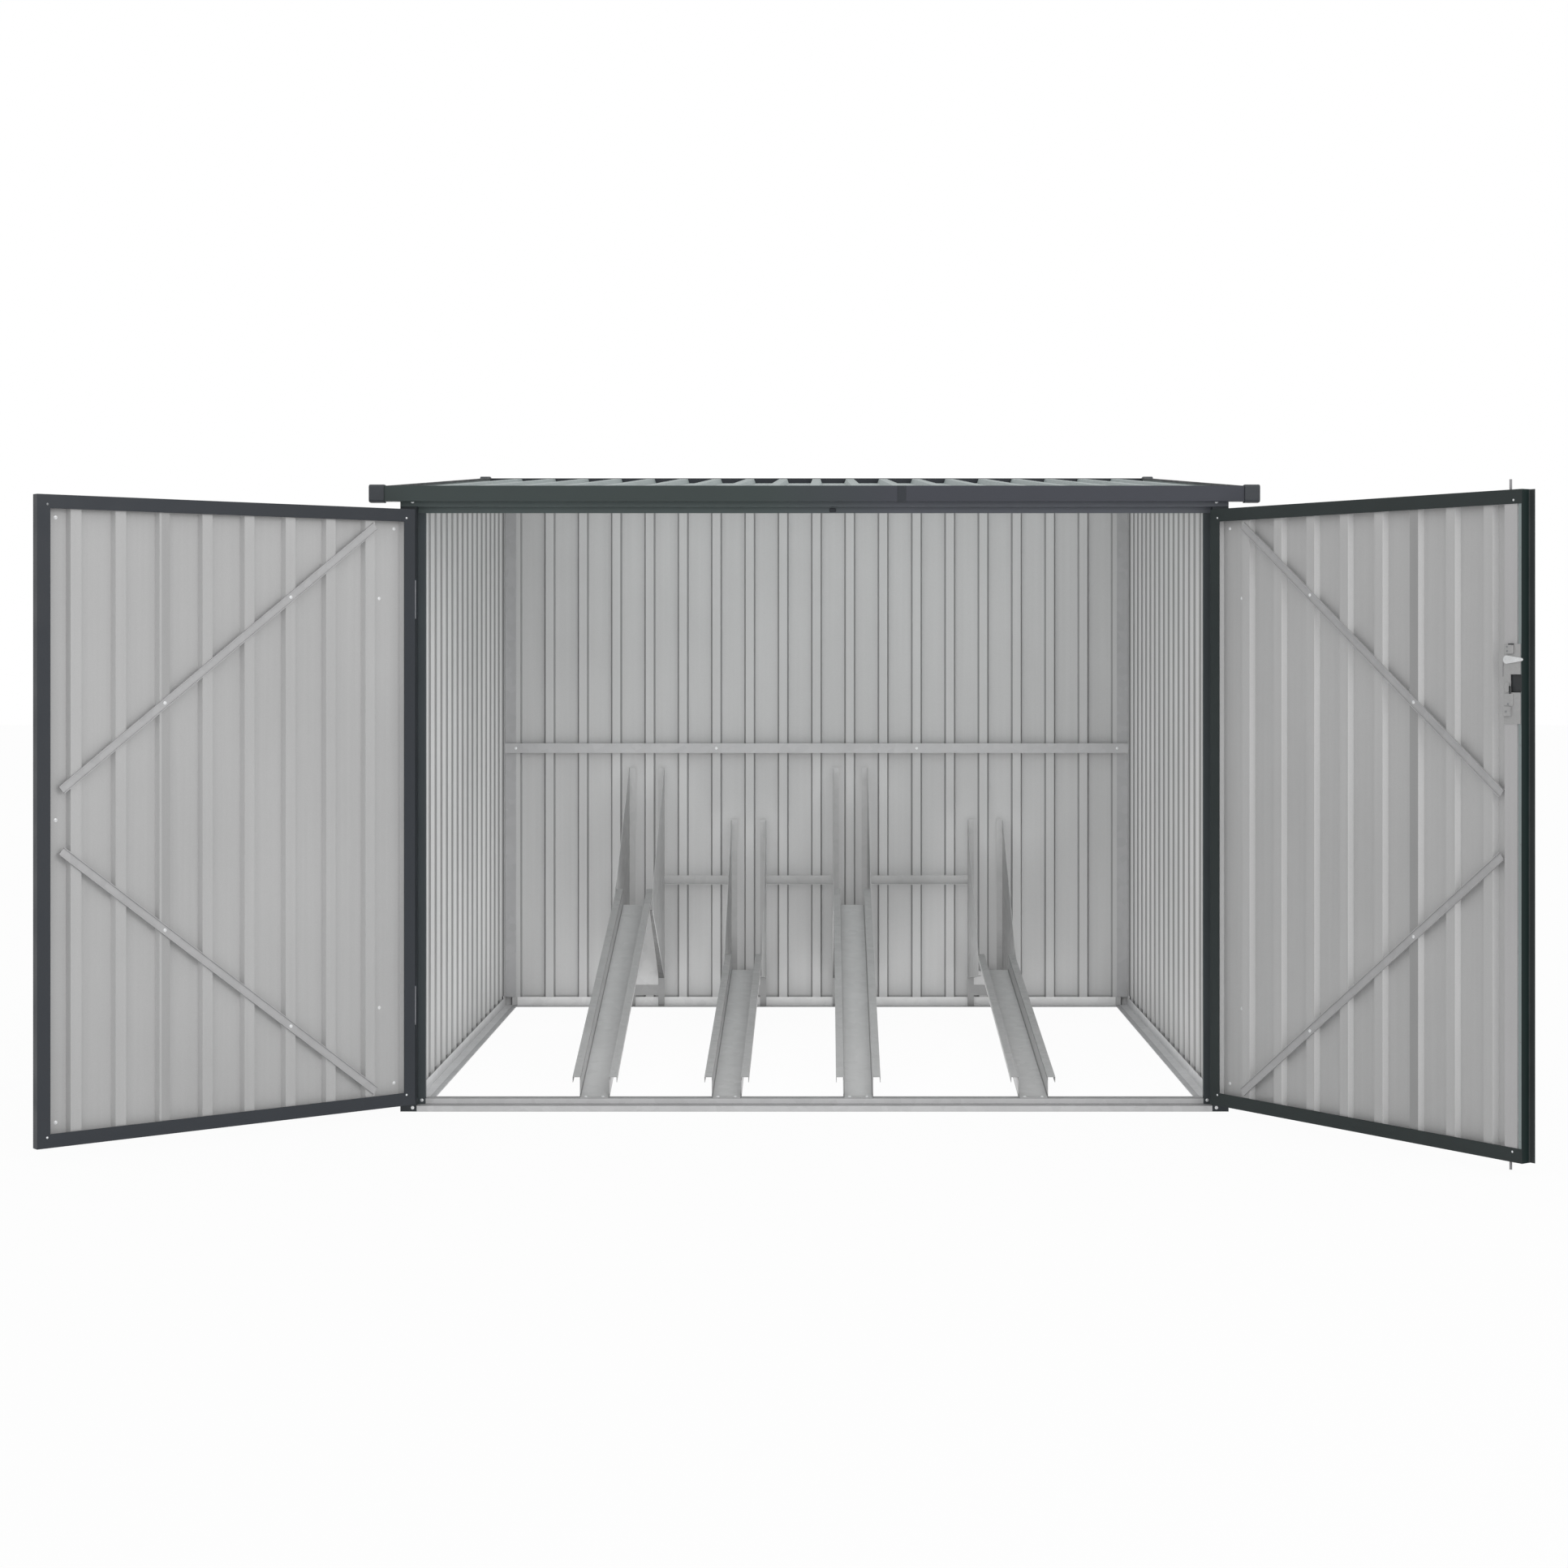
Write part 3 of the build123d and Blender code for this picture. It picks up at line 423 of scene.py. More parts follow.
def lapped_rib_shade(body):
    """1 on the crest of the rib where a door's two sheets lap, which gets a painted shadow."""
    along = door_axes(body)[0]
    middle = along.dot(hinge_place(body)) + LAP_RIB

    def zone(tree):
        return short_of(tree, distance_from(tree, place_along(tree, along), middle), CREST_HALF)
    return zone


def rebate_painted_light(tree):
    """1 on the posts' faces that stand back behind the closed doors, which get a painted light against their
    shade.
    """
    return beyond(tree, place_along(tree, BACK), FRONT + REBATE - REBATE_LEAD, REBATE_BORDER)


def right_half(tree):
    """Rises from 0 to 1 near the middle of the front."""
    return beyond(tree, place_along(tree, ACROSS), RIGHT_START, RIGHT_END - RIGHT_START)


def inner_crests(tree):
    """1 on the crests of the side walls' ribs inside, which get a painted shade."""
    away = absolute(tree, place_along(tree, ACROSS))
    return short_of(tree, away, SIDE_CREST + CREST_DEPTH, CREST_BORDER)


# Shade patterns, most of them painted light or painted shade
RIB_GAP = 0.008
RIB_GAP_BORDER = 0.003
RIB_GAP_SHADE = 0.3
CHANNEL_HEM = 0.0125
CHANNEL_SHADE_GAP = 0.0015
CHANNEL_SHADE_BORDER = 0.0015
CHANNEL_SHADES = (0.55, 1.06)
HOLDER_SHADE_HEIGHTS = (0.09, 0.24)
BACK_LIGHT_HEIGHTS = (0.12, 0.30)
SILL_SHADE_SPAN = (0.0004, 0.0011)
SILL_SHADE = 0.6
RAIL_FOLD_SHADE_SPAN = (0.0010, 0.0023)
RAIL_FOLD_SHADE_HEIGHT = 0.007
RAIL_FOLD_SHADE_LEVEL = 0.52
FLANGE_DROP = 0.008
FLANGE_SHADE = 0.66


def rib_foot_shadow(tree):
    """Painted shadow in the gaps at the feet of the side walls' ribs, just above the base channels."""
    foot = short_of(tree, place_along(tree, UP), BASE_TOP + RIB_GAP, RIB_GAP_BORDER)
    return spread(tree, product(tree, [inner_crests(tree), foot]), to=(1.0, RIB_GAP_SHADE), over=FULL)


def hem_edge_shade(tree):
    """Painted shade in a line beside the hems of the side channels, with slightly lighter zinc beyond it."""
    start = CHANNEL_EDGE + CHANNEL_HEM + CHANNEL_SHADE_GAP
    away = absolute(tree, place_along(tree, ACROSS))
    return spread(tree, away, to=CHANNEL_SHADES, over=(start, start + CHANNEL_SHADE_BORDER))


def low_painted_shade(tree):
    """Painted shade: the wheel holders' zinc darker towards their feet."""
    return spread(tree, place_along(tree, UP), to=(0.66, 1.0), over=HOLDER_SHADE_HEIGHTS)


def high_painted_light(tree):
    """Painted light: the holders' back plates brighter towards their top."""
    return spread(tree, place_along(tree, UP), to=(1.0, 1.3), over=BACK_LIGHT_HEIGHTS)


def front_painted_light(tree):
    """Painted light: the zinc brighter on the faces that look to the front."""
    return spread(tree, turned_to(tree, TO_FRONT), to=(0.80, 1.2), over=(0.3, 0.9))


def fold_shade(tree):
    """Painted shade in the folds along the sill's face."""
    height = place_along(tree, UP)
    shades = []
    for fold in (0.0, SILL_LIP, BASE_TOP):
        shades.append(spread(tree, distance_from(tree, height, fold), to=(SILL_SHADE, 1.0), over=SILL_SHADE_SPAN))
    return product(tree, shades)


def rail_shades(number):
    """Painted shade: darker zinc on the turned-out flanges of a rail, and in the folds beside its floor."""
    slope = (rail_end(number) - BASE_TOP) / (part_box(f"bike_rail_{number}")[1].y - RAIL_START)
    floor = BASE_TOP - slope * RAIL_START
    flange = floor + RAIL_WALL - FLANGE_DROP

    def pattern(tree):
        rise = place_along(tree, (0.0, -slope, 1.0))
        away = distance_from(tree, place_along(tree, ACROSS), middle_of(f"bike_rail_{number}"))
        fold = spread(tree, distance_from(tree, away, RAIL_FLOOR / 2 - SHEET), to=FALL, over=RAIL_FOLD_SHADE_SPAN)
        low = math_node(tree, "LESS_THAN", rise, floor + RAIL_FOLD_SHADE_HEIGHT)
        fold_painted_shade = spread(tree, product(tree, [fold, low]), to=(1.0, RAIL_FOLD_SHADE_LEVEL), over=FULL)
        flange_painted_shade = spread(tree, rise, to=(1.0, FLANGE_SHADE), over=(flange - SHARP, flange))
        return product(tree, [flange_painted_shade, fold_painted_shade])
    return pattern


# Finishes: those of the material slots, and those of nodes that differ

def grey(level):
    return (level, level, level)


LEFT_INWARD = door_axes("left_door")[1]
RIGHT_ALONG, RIGHT_INWARD = door_axes("right_door")
RUBBED_PAINT = (0.085, 0.094, 0.098)
BARE_SHEET = (0.36, 0.40, 0.397)
COAT = grey(0.525)

SCREW_ZINC = plated("bright_screw_zinc", (0.88, 0.89, 0.90), metallic=0.4)
DULL_ZINC = plated("dull_screw_zinc", (0.30, 0.31, 0.32), metallic=0.5)
TONGUE_ZINC = plated("tongue_zinc", (0.78, 0.79, 0.80), metallic=0.3)
LATCH_ZINC = galvanised("latch_zinc", grey(0.42), metallic=0.2, spangle=120.0)
ROD_ZINC = galvanised("rod_zinc", (0.34, 0.335, 0.345), spangle=120.0)
HOLDER_ZINC = galvanised("rack_zinc", grey(0.435), pattern=low_painted_shade)
# The holders' hems are dark with painted shade
HOLDER_HEM_SHADED_ZINC = galvanised("hem_zinc", grey(0.11))
BACK_PLATE_ZINC = galvanised("back_plate_zinc", grey(0.52), pattern=high_painted_light)
CHANNEL_HEM_ZINC = galvanised("channel_hem_zinc", (0.44, 0.44, 0.45))
LOCK_PLASTIC = moulded("lock_plastic", (0.028, 0.031, 0.034))
FRAME_PAINT = powder_paint("anthracite_powder_coat", (0.0255, 0.0305, 0.0385))
# Side walls: painted shade on the inner crests of the ribs, and painted shadow at their feet
SIDE_COAT = coated_sheet("side_wall_coat", COAT, ACROSS, web_painted_shading=0.95, zone=(inner_crests, grey(0.24)),
                         pattern=rib_foot_shadow)

SLOTS = {
    "sheet_coat": coated_sheet("grey_sheet_coat", COAT, UP),
    "zinc_steel": galvanised("galvanised_steel", (0.475, 0.475, 0.48), metallic=0.2),
    "frame_paint": FRAME_PAINT,
    "hinge_zinc": plated("zinc_plate", (0.86, 0.86, 0.92), metallic=0.2),
    "cap_plastic": moulded("cap_plastic", (0.045, 0.051, 0.059)),
    "lock_plastic": LOCK_PLASTIC,
}
FINISHES = {
    # Webs: painted shade on the walls, painted light on the doors' webs that face the light
    "rear_wall": coated_sheet("rear_wall_coat", grey(0.505), BACK, web_painted_shading=0.60),
    "left_wall": SIDE_COAT,
    "right_wall": SIDE_COAT,
    "roof_sheet": coated_sheet("roof_coat", (0.315, 0.368, 0.366), UP),
    "left_door_panel": coated_sheet("left_door_coat", COAT, LEFT_INWARD, web_painted_shading=1.10,
                                    zone=(lapped_rib_shade("left_door"), grey(0.43))),
    "right_door_panel": coated_sheet("right_door_coat", COAT, RIGHT_INWARD, web_painted_shading=1.36,
                                     zone=(lapped_rib_shade("right_door"), grey(0.36))),
    "right_door_lock_stile": coated_sheet("stile_coat", (0.51, 0.505, 0.51), RIGHT_INWARD, web_painted_shading=1.36,
                                          zone=(free_edge, (0.28, 0.33, 0.33))),
    "front_gutter": powder_paint("gutter_powder_coat", (0.036, 0.050, 0.049),
                                 zone=(right_half, (0.047, 0.051, 0.065))),
    # Painted light: the header's paint is lighter, against the shade under the gutter
    "front_header": powder_paint("header_powder_coat", (0.092, 0.117, 0.116),
                                 zone=(right_half, (0.124, 0.134, 0.155))),
    "front_posts": powder_paint("post_powder_coat", (0.0225, 0.0280, 0.0335),
                                zone=(rebate_painted_light, (0.062, 0.075, 0.082))),
    "roof_side_trims": powder_paint("verge_powder_coat", (0.018, 0.021, 0.024),
                                    zone=(inside_verge, BARE_SHEET), gloss=0.2, rubbed=0.0),
    "right_door_frame": powder_paint("right_door_powder_coat", (0.038, 0.0465, 0.0465),
                                     zone=(free_side_painted_shade, (0.008, 0.018, 0.017)), gloss=0.15),
    "right_door_astragal": powder_paint("astragal_powder_coat", (0.050, 0.057, 0.057)),
    "base_front_sill": galvanised("sill_zinc", (0.620, 0.620, 0.625), metallic=0.2, pattern=fold_shade),
    "base_rear_channel": galvanised("rear_base_zinc", grey(0.64), pattern=front_painted_light),
    "base_side_channels": galvanised("side_base_zinc", (0.56, 0.56, 0.565), pattern=hem_edge_shade),
    "rear_corner_posts": galvanised("corner_zinc", (0.425, 0.425, 0.43), metallic=0.2),
    "rack_tie_bars": galvanised("tie_zinc", grey(0.43)),
    "latch_plate": LATCH_ZINC,
    "latch_cam": TONGUE_ZINC,
    "top_latch_rod": ROD_ZINC,
    "bottom_latch_rod": ROD_ZINC,
}
for number in RACK_NUMBERS:
    rail_zinc = galvanised(f"rail_{number}_zinc", grey(0.50), pattern=rail_shades(number))
    FINISHES[f"bike_rail_{number}"] = rail_zinc
    FINISHES[f"wheel_holder_{number}"] = HOLDER_ZINC

for part in frame["record"]["subparts"]:
    materials = nodes[part["node"]].data.materials
    materials.clear()
    materials.append(FINISHES.get(part["node"], SLOTS[part["material_slot"]]))


# Shapes of small pieces
SCREW_HEIGHT_SHARE = 0.55
SCREW_SHARES = [(1.3, 0.0), (1.3, 0.22), (1.0, 0.30), (0.97, 0.62), (0.80, 0.90), (0.52, 1.0), (0.50, 1.0),
                (0.17, 1.0)]
CROSS_ARM_SHARE = 0.50
CROSS_MIDDLE_SHARE = 0.2
CROSS_ARM_LEVEL_SHARE = 0.45
CROSS_MIDDLE_LEVEL_SHARE = 0.42
CROSS_TURNS = (-0.26, 0.26, 0.62, 0.95)
CROSS_ARM_EDGES = 2
RIVET_HEIGHT_SHARE = 0.5
RIVET_SHARES = [(1.0, 0.0), (1.0, 0.25), (0.86, 0.7), (0.6, 0.95), (0.4, 1.0), (0.36, 0.6)]
RIVET_STEPS = 12
QUARTER = math.pi / 2
HEAD_TURN = 0.7548


def lofted(bm, rings):
    """Closed skin over rings of points."""
    count = len(rings[0])
    for a, b in zip(rings, rings[1:]):
        for i in range(count):
            j = (i + 1) % count
            bm.faces.new((a[i], a[j], b[j], b[i]))
    bm.faces.new(rings[-1])
    bm.faces.new(rings[0][::-1])


def on_circle(angle, radius, height):
    return Vector((math.cos(angle) * radius, math.sin(angle) * radius, height))


def screw_head(bm, matrix, radius, turn):
    """Pan head on a thin flange, with a cross recess."""
    height = SCREW_HEIGHT_SHARE * radius
    angles = [QUARTER * quarter + turn + step for quarter in range(4) for step in CROSS_TURNS]
    rings = []
    for share, level in SCREW_SHARES:
        ring = []
        for index, angle in enumerate(angles):
            z = level
            if share <= CROSS_ARM_SHARE and index % len(CROSS_TURNS) < CROSS_ARM_EDGES:
                z = CROSS_ARM_LEVEL_SHARE
            if share < CROSS_MIDDLE_SHARE:
                z = CROSS_MIDDLE_LEVEL_SHARE
            ring.append(bm.verts.new(matrix @ on_circle(angle, share * radius, z * height)))
        rings.append(ring)
    lofted(bm, rings)


def rivet_head(bm, matrix, radius, turn):
    """Low dome of a blind rivet with its drawn mandrel."""
    height = RIVET_HEIGHT_SHARE * radius
    angles = [math.tau / RIVET_STEPS * step + turn for step in range(RIVET_STEPS)]
    rings = []
    for share, level in RIVET_SHARES:
        spots = [on_circle(angle, share * radius, level * height) for angle in angles]
        rings.append([bm.verts.new(matrix @ spot) for spot in spots])
    lofted(bm, rings)


def box_outline(width, height, cut=0.0):
    """Rectangle round the origin, with its corners cut."""
    x = width / 2
    y = height / 2
    if not cut:
        return [(-x, -y), (x, -y), (x, y), (-x, y)]
    lower = [(-x, cut - y), (cut - x, -y), (x - cut, -y), (x, cut - y)]
    upper = [(x, y - cut), (x - cut, y), (cut - x, y), (-x, y - cut)]
    return lower + upper


def plate(bm, matrix, outline, height, bevel):
    """Flat plate with an outline in the frame's plane, its upper edges broken by a bevel."""
    low = [bm.verts.new((x, y, 0.0)) for x, y in outline]
    high = [bm.verts.new((x, y, height)) for x, y in outline]
    top = bm.faces.new(high)
    bm.faces.new(low[::-1])
    sides = []
    for i in range(len(outline)):
        j = (i + 1) % len(outline)
        sides.append(bm.faces.new((low[i], low[j], high[j], high[i])))
    edges = list(top.edges)
    made = bmesh.ops.bevel(bm, geom=edges, offset=bevel, segments=2, profile=0.5, affect="EDGES")
    verts = set(low) | set(made["verts"]) | {v for face in made["faces"] for v in face.verts}
    verts |= {v for face in sides if face.is_valid for v in face.verts}
    bmesh.ops.transform(bm, matrix=matrix, verts=[v for v in verts if v.is_valid])


def piece(name, bm, body, material):
    """Object that rides on a body, made from a mesh in progress."""
    mesh = bpy.data.meshes.new(name)
    bmesh.ops.recalc_face_normals(bm, faces=bm.faces)
    bm.to_mesh(mesh)
    bm.free()
    mesh.materials.append(material)
    obj = bpy.data.objects.new(name, mesh)
    scene.collection.objects.link(obj)
    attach(obj, body)
    return obj


def heads(name, body, shape, radius, places, material):
    """One mesh of screw or rivet heads, each turned its own way."""
    bm = bmesh.new()
    for index, matrix in enumerate(places):
        shape(bm, matrix, radius, (index * HEAD_TURN) % QUARTER)
    piece(name, bm, body, material)


# Screws of the frame, the girt and the bike rails
SCREW = 0.0032
GIRT_SCREW = 0.0034
RAIL_SCREW = 0.0036
POST_SCREW_X = 0.985
POST_SCREW_HEIGHTS = (0.0096, 1.4948)
REBATE_SCREW_X = 0.9665
REBATE_SCREW_Z = 0.0234
GIRT_SCREW_XS = (0.963, 0.321)
GIRT_SCREW_Z = 0.826
RAIL_SCREW_OFFSET = 0.0215
RAIL_SCREW_INSET = 0.044

frame_places = []
for x in both_sides(POST_SCREW_X):
    for z in POST_SCREW_HEIGHTS:
        frame_places.append(facing((x, FRONT, z), TO_FRONT))
for x in both_sides(REBATE_SCREW_X):
    frame_places.append(facing((x, FRONT + REBATE, REBATE_SCREW_Z), TO_FRONT))
heads("frame_screws", "shelter", screw_head, SCREW, frame_places, SCREW_ZINC)

girt_places = []
for distance in GIRT_SCREW_XS:
    for x in both_sides(distance):
        girt_places.append(facing((x, GIRT_FACE, GIRT_SCREW_Z), TO_FRONT))
heads("girt_screws", "shelter", screw_head, GIRT_SCREW, girt_places, SCREW_ZINC)

rail_places = []
for number in RACK_NUMBERS:
    for offset in both_sides(RAIL_SCREW_OFFSET):
        x = middle_of(f"bike_rail_{number}") + offset
        rail_places.append(facing((x, FRONT + RAIL_SCREW_INSET, BASE_TOP + SHEET), UP))
heads("rail_screws", "shelter", screw_head, RAIL_SCREW, rail_places, SCREW_ZINC)


# Screws of the doors, by distance along the door and height: in the sheet, the braces and the frame's lips
LIP_SCREW = 0.0019
BRACE_START = 0.120
BRACE_ENDS = {"left_door": 0.918, "right_door": 0.9175}
BRACE_TOP = 1.430
BRACE_BOTTOM = 0.067
BRACE_RISE = 0.6135
BRACE_SCREWS = {"left_door": (0.348, 0.669), "right_door": (0.343, 0.664)}
HINGE_SIDE_SCREWS = [(0.060, 1.4255), (0.060, 0.0782), (0.101, 1.2555), (0.101, 0.2645)]
FREE_SIDE_SCREWS = [(0.925, 1.4240), (0.925, 0.7490), (0.925, 0.0750)]
SHEET_SCREWS = {"left_door": HINGE_SIDE_SCREWS + FREE_SIDE_SCREWS, "right_door": HINGE_SIDE_SCREWS}
LIP_SCREWS = {
    "left_door": [(0.0365, 1.4520), (0.0365, 0.0490), (0.953, 0.0470)],
    "right_door": [(0.0365, 1.4520), (0.0365, 0.0490), (0.953, 1.4510), (0.950, 0.0455)],
}
DULL_CORNER_SCREW = (0.952, 1.4520)

for body in SIDES:
    places = [on_door(body, distance, PAN, height) for distance, height in SHEET_SCREWS[body]]
    for distance in BRACE_SCREWS[body]:
        run = (distance - BRACE_START) / (BRACE_ENDS[body] - BRACE_START) * BRACE_RISE
        places.append(on_door(body, distance, BRACE, BRACE_TOP - run))
        places.append(on_door(body, distance, BRACE, BRACE_BOTTOM + run))
    heads(f"{body}_sheet_screws", body, screw_head, SCREW, places, SCREW_ZINC)
    lips = [on_door(body, distance, DOOR_INNER, height) for distance, height in LIP_SCREWS[body]]
    heads(f"{body}_lip_screws", body, screw_head, LIP_SCREW, lips, SCREW_ZINC)

corner = [on_door("left_door", DULL_CORNER_SCREW[0], DOOR_INNER, DULL_CORNER_SCREW[1])]
heads("left_door_corner_screw", "left_door", screw_head, LIP_SCREW, corner, DULL_ZINC)

RIVET = 0.0016
RIVET_ROW = 0.9705
RIVET_START = 0.070
RIVET_PITCH = 0.213
RIVET_COUNT = 7

rivet_places = []
for step in range(RIVET_COUNT):
    rivet_places.append(on_door("right_door", RIVET_ROW, STILE, RIVET_START + RIVET_PITCH * step))
heads("stile_rivets", "right_door", rivet_head, RIVET, rivet_places, DULL_ZINC)


# Latch: blocks, a hook and screws on the latch plate, and a lip on the lock stile
BLOCK_CUT = 0.002
LATCH_SCREWS = [(0.9400, 1.1350, 0.0050), (0.9400, 1.1255, 0.0050), (0.9365, 0.9950, 0.0050),
                (0.9400, 1.0110, 0.0020)]


def latch_box(bm, place, size, bevel, cut=0.0, seat=DOOR_INNER):
    """Small plate on a face of the right door, placed by distance along the door and height."""
    distance, height = place
    width, length, thickness = size
    matrix = on_door("right_door", distance, seat, height)
    plate(bm, matrix, box_outline(width, length, cut), thickness, bevel)


bm = bmesh.new()
latch_box(bm, place=(0.9440, 1.1295), size=(0.021, 0.020, 0.0050), bevel=0.0008, cut=BLOCK_CUT)
latch_box(bm, place=(0.9400, 1.0200), size=(0.025, 0.027, 0.0020), bevel=0.0006, cut=BLOCK_CUT)
latch_box(bm, place=(0.9360, 1.0470), size=(0.012, 0.021, 0.0025), bevel=0.0006, cut=BLOCK_CUT)
piece("latch_blocks", bm, "right_door", LATCH_ZINC)

bm = bmesh.new()
latch_box(bm, place=(0.9480, 1.1402), size=(0.0110, 0.0028, 0.0052), bevel=0.0004)
latch_box(bm, place=(0.9445, 1.0415), size=(0.0025, 0.0170, 0.0030), bevel=0.0004)
latch_box(bm, place=(0.9734, 1.0555), size=(0.0032, 0.0360, 0.0014), bevel=0.0003, seat=STILE)
piece("latch_hook", bm, "right_door", LOCK_PLASTIC)

latch_places = []
for distance, height, stand_off in LATCH_SCREWS:
    latch_places.append(on_door("right_door", distance, DOOR_INNER + stand_off, height))
heads("latch_screws", "right_door", screw_head, LIP_SCREW, latch_places, DULL_ZINC)


# Keeper for the top rod, on the header's rebated face
KEEPER_WIDTH = 0.016
KEEPER_HEIGHT = 0.010
KEEPER_DROP = 0.008
KEEPER_SHEET = 0.0018
KEEPER_BEVEL = 0.0005

bm = bmesh.new()
keeper_place = facing((STRIKE_X, FRONT + REBATE, POST_TOP - KEEPER_DROP), TO_FRONT)
plate(bm, keeper_place, box_outline(KEEPER_WIDTH, KEEPER_HEIGHT, BLOCK_CUT), KEEPER_SHEET, KEEPER_BEVEL)
piece("header_keeper", bm, "shelter", FRAME_PAINT)


# Wheel holders: a plate that closes the back below the rail's end, and hems under the side plates in painted
# shade
THIN_SHEET = 0.0012
BACK_BOTTOM = 0.037
BACK_DROP = 0.065
BACK_GAPS = 0.010
BACK_BEVEL = 0.0002
HOLDER_FOOT = 0.091
HEM_INSET = 0.002
HEM_DROP = 0.012
HEM_FRONT_WIDTH = 0.008
HEM_BACK_WIDTH = 0.017

backs = bmesh.new()
hems = bmesh.new()
for number in RACK_NUMBERS:
    low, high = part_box(f"wheel_holder_{number}")
    width = high.x - low.x
    middle = (low.x + high.x) / 2
    top = rail_end(number) - BACK_DROP
    back = facing((middle, high.y + THIN_SHEET, (BACK_BOTTOM + top) / 2), TO_FRONT)
    plate(backs, back, box_outline(width - BACK_GAPS, top - BACK_BOTTOM), THIN_SHEET, BACK_BEVEL)
    hem_ends = [
        (low.y + HEM_INSET, rail_end(number) - HEM_DROP, HEM_FRONT_WIDTH),
        (high.y - HEM_INSET, HOLDER_FOOT, HEM_BACK_WIDTH),
    ]
    for side in both_sides(1.0):
        outer = middle + side * (width / 2 - SHEET)
        rings = []
        for y, z, hem_width in hem_ends:
            inner = outer - side * hem_width
            spots = [(outer, z), (inner, z), (inner, z + THIN_SHEET), (outer, z + THIN_SHEET)]
            rings.append([hems.verts.new((x, y, height)) for x, height in spots])
        lofted(hems, rings)
back_plates = piece("holder_back_plates", backs, "shelter", BACK_PLATE_ZINC)
piece("holder_hems", hems, "shelter", HOLDER_HEM_SHADED_ZINC)


# Side channels: the edge of each floor flange is folded back in a flat hem
CHANNEL_HEM_ENDS = (-0.935, 0.977)
CHANNEL_HEM_PROFILE = [(CHANNEL_HEM, SHEET), (CHANNEL_HEM, 0.0028), (0.0010, 0.0030), (0.0002, 0.0026),
                       (0.0, SHEET)]

bm = bmesh.new()
for side in both_sides(1.0):
    rings = []
    for y in CHANNEL_HEM_ENDS:
        rings.append([bm.verts.new((side * (CHANNEL_EDGE + out), y, z)) for out, z in CHANNEL_HEM_PROFILE])
    lofted(bm, rings)
piece("side_channel_hems", bm, "shelter", CHANNEL_HEM_ZINC)


# Camera, level and straight at the front
CAMERA_X = 0.021
CAMERA_DISTANCE = 6.65
CAMERA_HEIGHT = 1.101

camera = bpy.data.cameras.new("camera")
camera.lens = 62.3
camera.sensor_width = 36.0
camera.shift_x = -0.0249
camera.shift_y = -0.0776
camera_object = bpy.data.objects.new("camera", camera)
camera_object.location = (CAMERA_X, FRONT - CAMERA_DISTANCE, CAMERA_HEIGHT)
camera_object.rotation_euler = (math.radians(90), 0.0, 0.0)
scene.collection.objects.link(camera_object)
scene.camera = camera_object


# Floor and world
FLOOR_HALF = 40.0
FLOOR_DROP = 0.0005
FLOOR_GLOW = 0.95
WORLD_SOFT = 0.8


def seen_share(tree, share):
    """The share where a surface is seen directly, in a mirror or through glass, and 0 for soft light."""
    path = tree.nodes.new("ShaderNodeLightPath")
    seen = math_node(tree, "MAXIMUM", path.outputs["Is Camera Ray"], path.outputs["Is Glossy Ray"])
    seen = math_node(tree, "MAXIMUM", seen, path.outputs["Is Transmission Ray"])
    return math_node(tree, "MULTIPLY", seen, share)


floor_mesh = bpy.data.meshes.new("floor")
near = [(x, -FLOOR_HALF, 0.0) for x in both_sides(FLOOR_HALF)]
far = [(x, FLOOR_HALF, 0.0) for x in both_sides(FLOOR_HALF)]
floor_mesh.from_pydata(near + far[::-1], [], [(0, 1, 2, 3)])
floor = bpy.data.objects.new("floor", floor_mesh)
floor.location = (0.0, 0.0, -FLOOR_DROP)
scene.collection.objects.link(floor)
floor_white, tree, shader = new_material("floor_white")
shader.inputs["Base Color"].default_value = (*grey(0.80), 1.0)
shader.inputs["Roughness"].default_value = 0.9
shader.inputs["Specular IOR Level"].default_value = 0.0
glow = tree.nodes.new("ShaderNodeEmission")
mix = tree.nodes.new("ShaderNodeMixShader")
join(tree, seen_share(tree, FLOOR_GLOW), mix.inputs["Fac"])
join(tree, shader.outputs["BSDF"], mix.inputs[1])
join(tree, glow.outputs["Emission"], mix.inputs[2])
join(tree, mix.outputs["Shader"], tree.nodes["Material Output"].inputs["Surface"])
floor_mesh.materials.append(floor_white)

world = bpy.data.worlds.new("studio")
scene.world = world
world.use_nodes = True
tree = world.node_tree
background = tree.nodes["Background"]
background.inputs["Color"].default_value = (*grey(1.0), 1.0)
strength = spread(tree, seen_share(tree, 1.0), to=(WORLD_SOFT, 1.0), over=FULL)
join(tree, strength, background.inputs["Strength"])


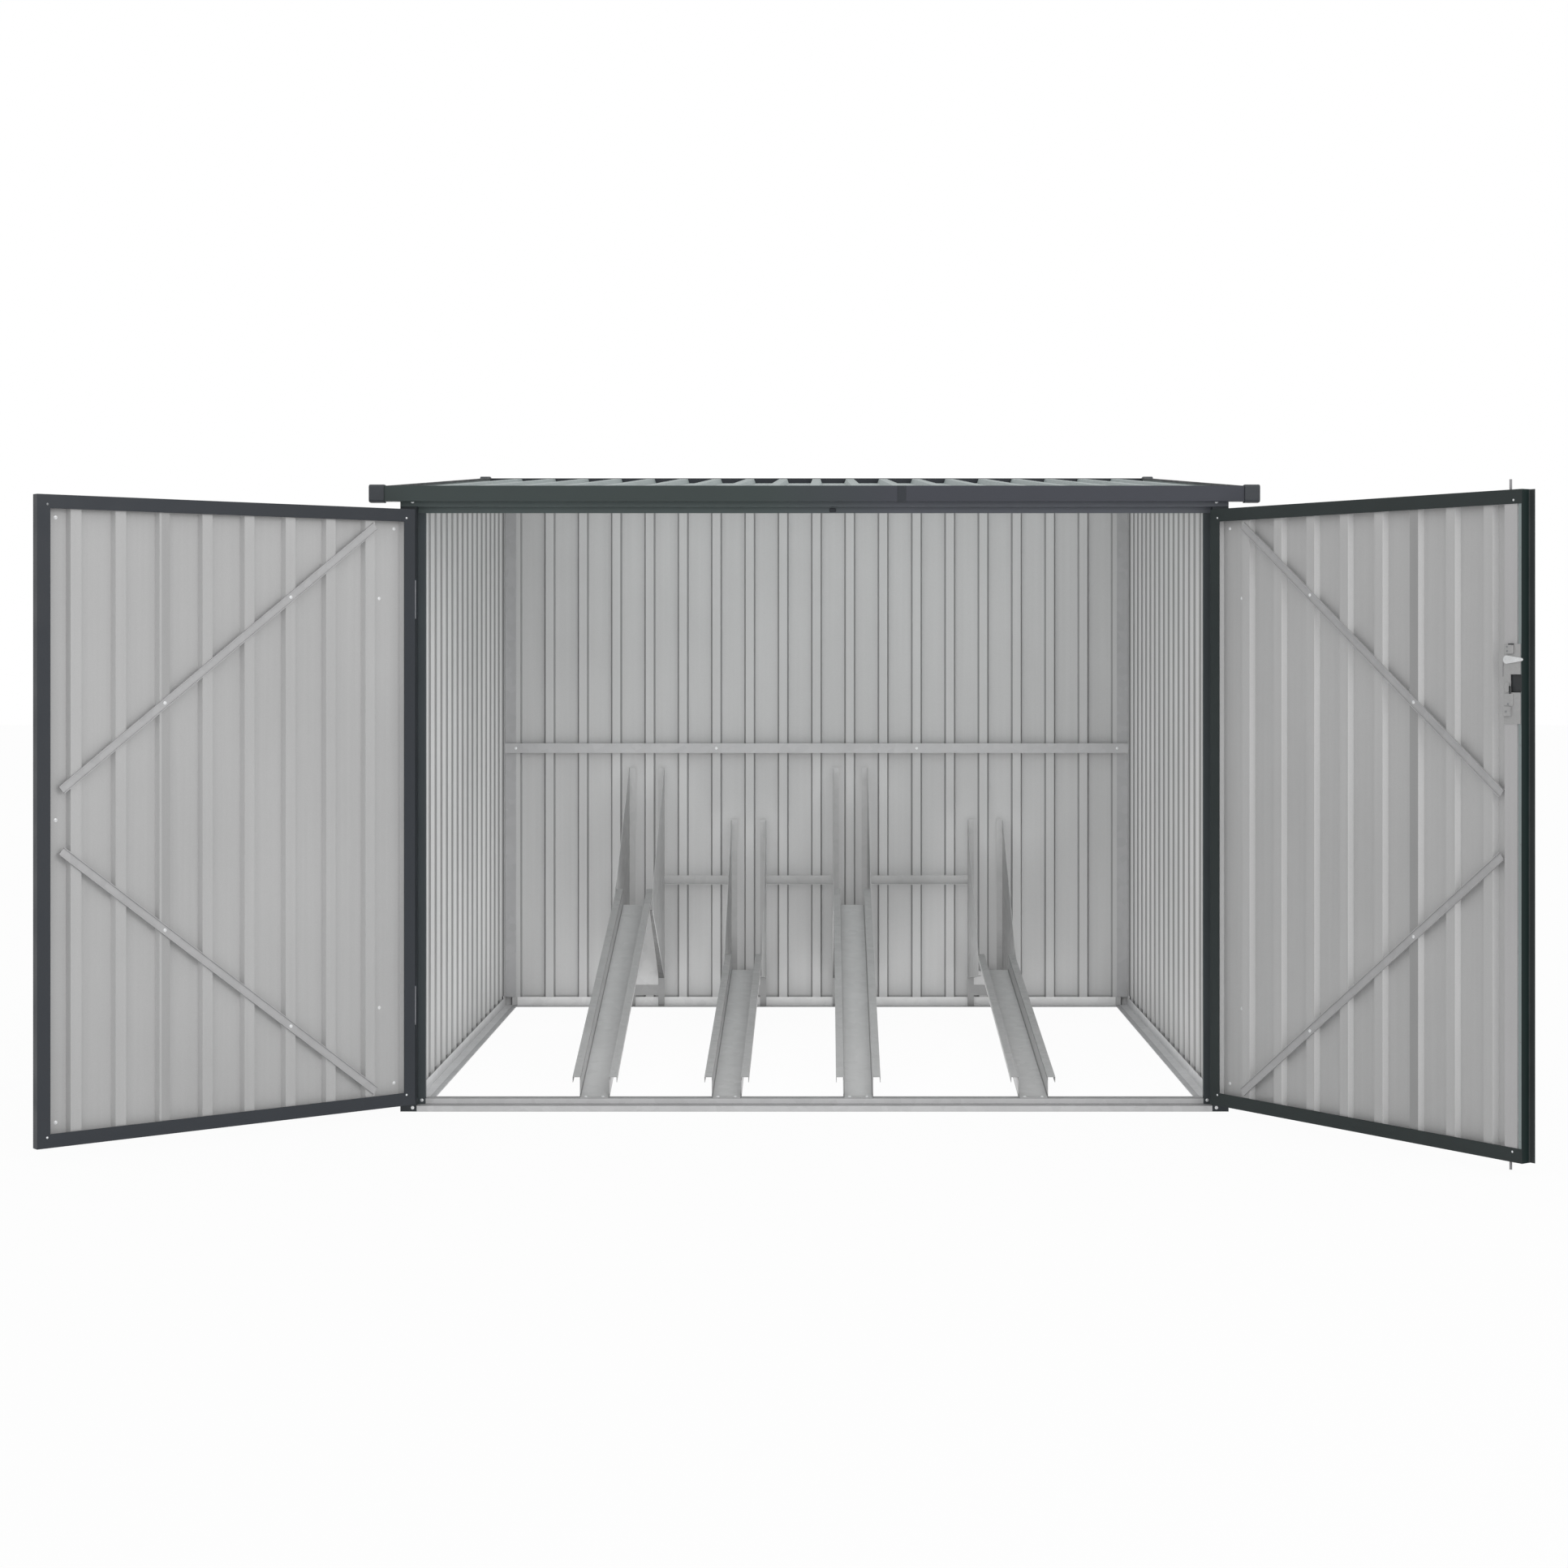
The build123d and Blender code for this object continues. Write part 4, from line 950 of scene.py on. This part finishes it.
# Lights: a weak key from the right, and soft fill inside the shelter
CEILING = 1.583
BOUNCE_HEIGHT = 0.004
DOORWAY_Y = -0.985
DOORWAY_MIDDLE = 0.76
SLOT_DISTANCE = 0.20


def area_light(name, place, target, size, power, angle=math.pi, hidden=True):
    """Area light from a place to a target. A hidden one shows in no view and no mirror."""
    light = bpy.data.lights.new(name, "AREA")
    light.shape = "RECTANGLE"
    light.size, light.size_y = size
    light.energy = power
    light.spread = angle
    obj = bpy.data.objects.new(name, light)
    obj.location = place
    obj.rotation_euler = (Vector(target) - Vector(place)).to_track_quat("-Z", "Y").to_euler()
    obj.visible_camera = not hidden
    obj.visible_glossy = not hidden
    scene.collection.objects.link(obj)


area_light("key", place=(6.0, -8.0, 4.0), target=(0.0, -1.0, 0.8), size=(5.0, 5.0), power=170.0, hidden=False)
area_light("ceiling", place=(0.0, 0.0, CEILING), target=(0.0, ROOF_SLOPE, CEILING - 1.0), size=(1.94, 1.94),
           power=10.0)
area_light("bounce", place=(0.0, 0.0, BOUNCE_HEIGHT), target=(0.0, 0.0, 2.0), size=(1.86, 1.94), power=11.0)
area_light("inside", place=(0.0, DOORWAY_Y, DOORWAY_MIDDLE), target=(0.0, 1.0, DOORWAY_MIDDLE),
           size=(1.84, 1.36), power=6.5)
area_light("left_corner", place=(-0.66, 0.42, 0.62), target=(-1.0, 0.90, 0.58), size=(0.30, 1.0), power=0.50)
area_light("right_corner", place=(0.66, 0.42, 0.62), target=(1.0, 0.90, 0.58), size=(0.30, 1.0), power=0.32)

# The deep, narrow wheel holders cast no shadow and have a soft light each, so that the rear wall behind them
# is as evenly lit as in the photo
for number in RACK_NUMBERS:
    holder = f"wheel_holder_{number}"
    nodes[holder].visible_shadow = False
    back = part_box(holder)[1].y
    height = (rail_end(number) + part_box(holder)[1].z) / 2
    middle = middle_of(holder)
    area_light(f"slot_{number}", place=(middle, back - SLOT_DISTANCE, height), target=(middle, back, height),
               size=(0.24, 0.40), power=0.075, angle=math.radians(60))
back_plates.visible_shadow = False

scene.view_settings.view_transform = "Standard"
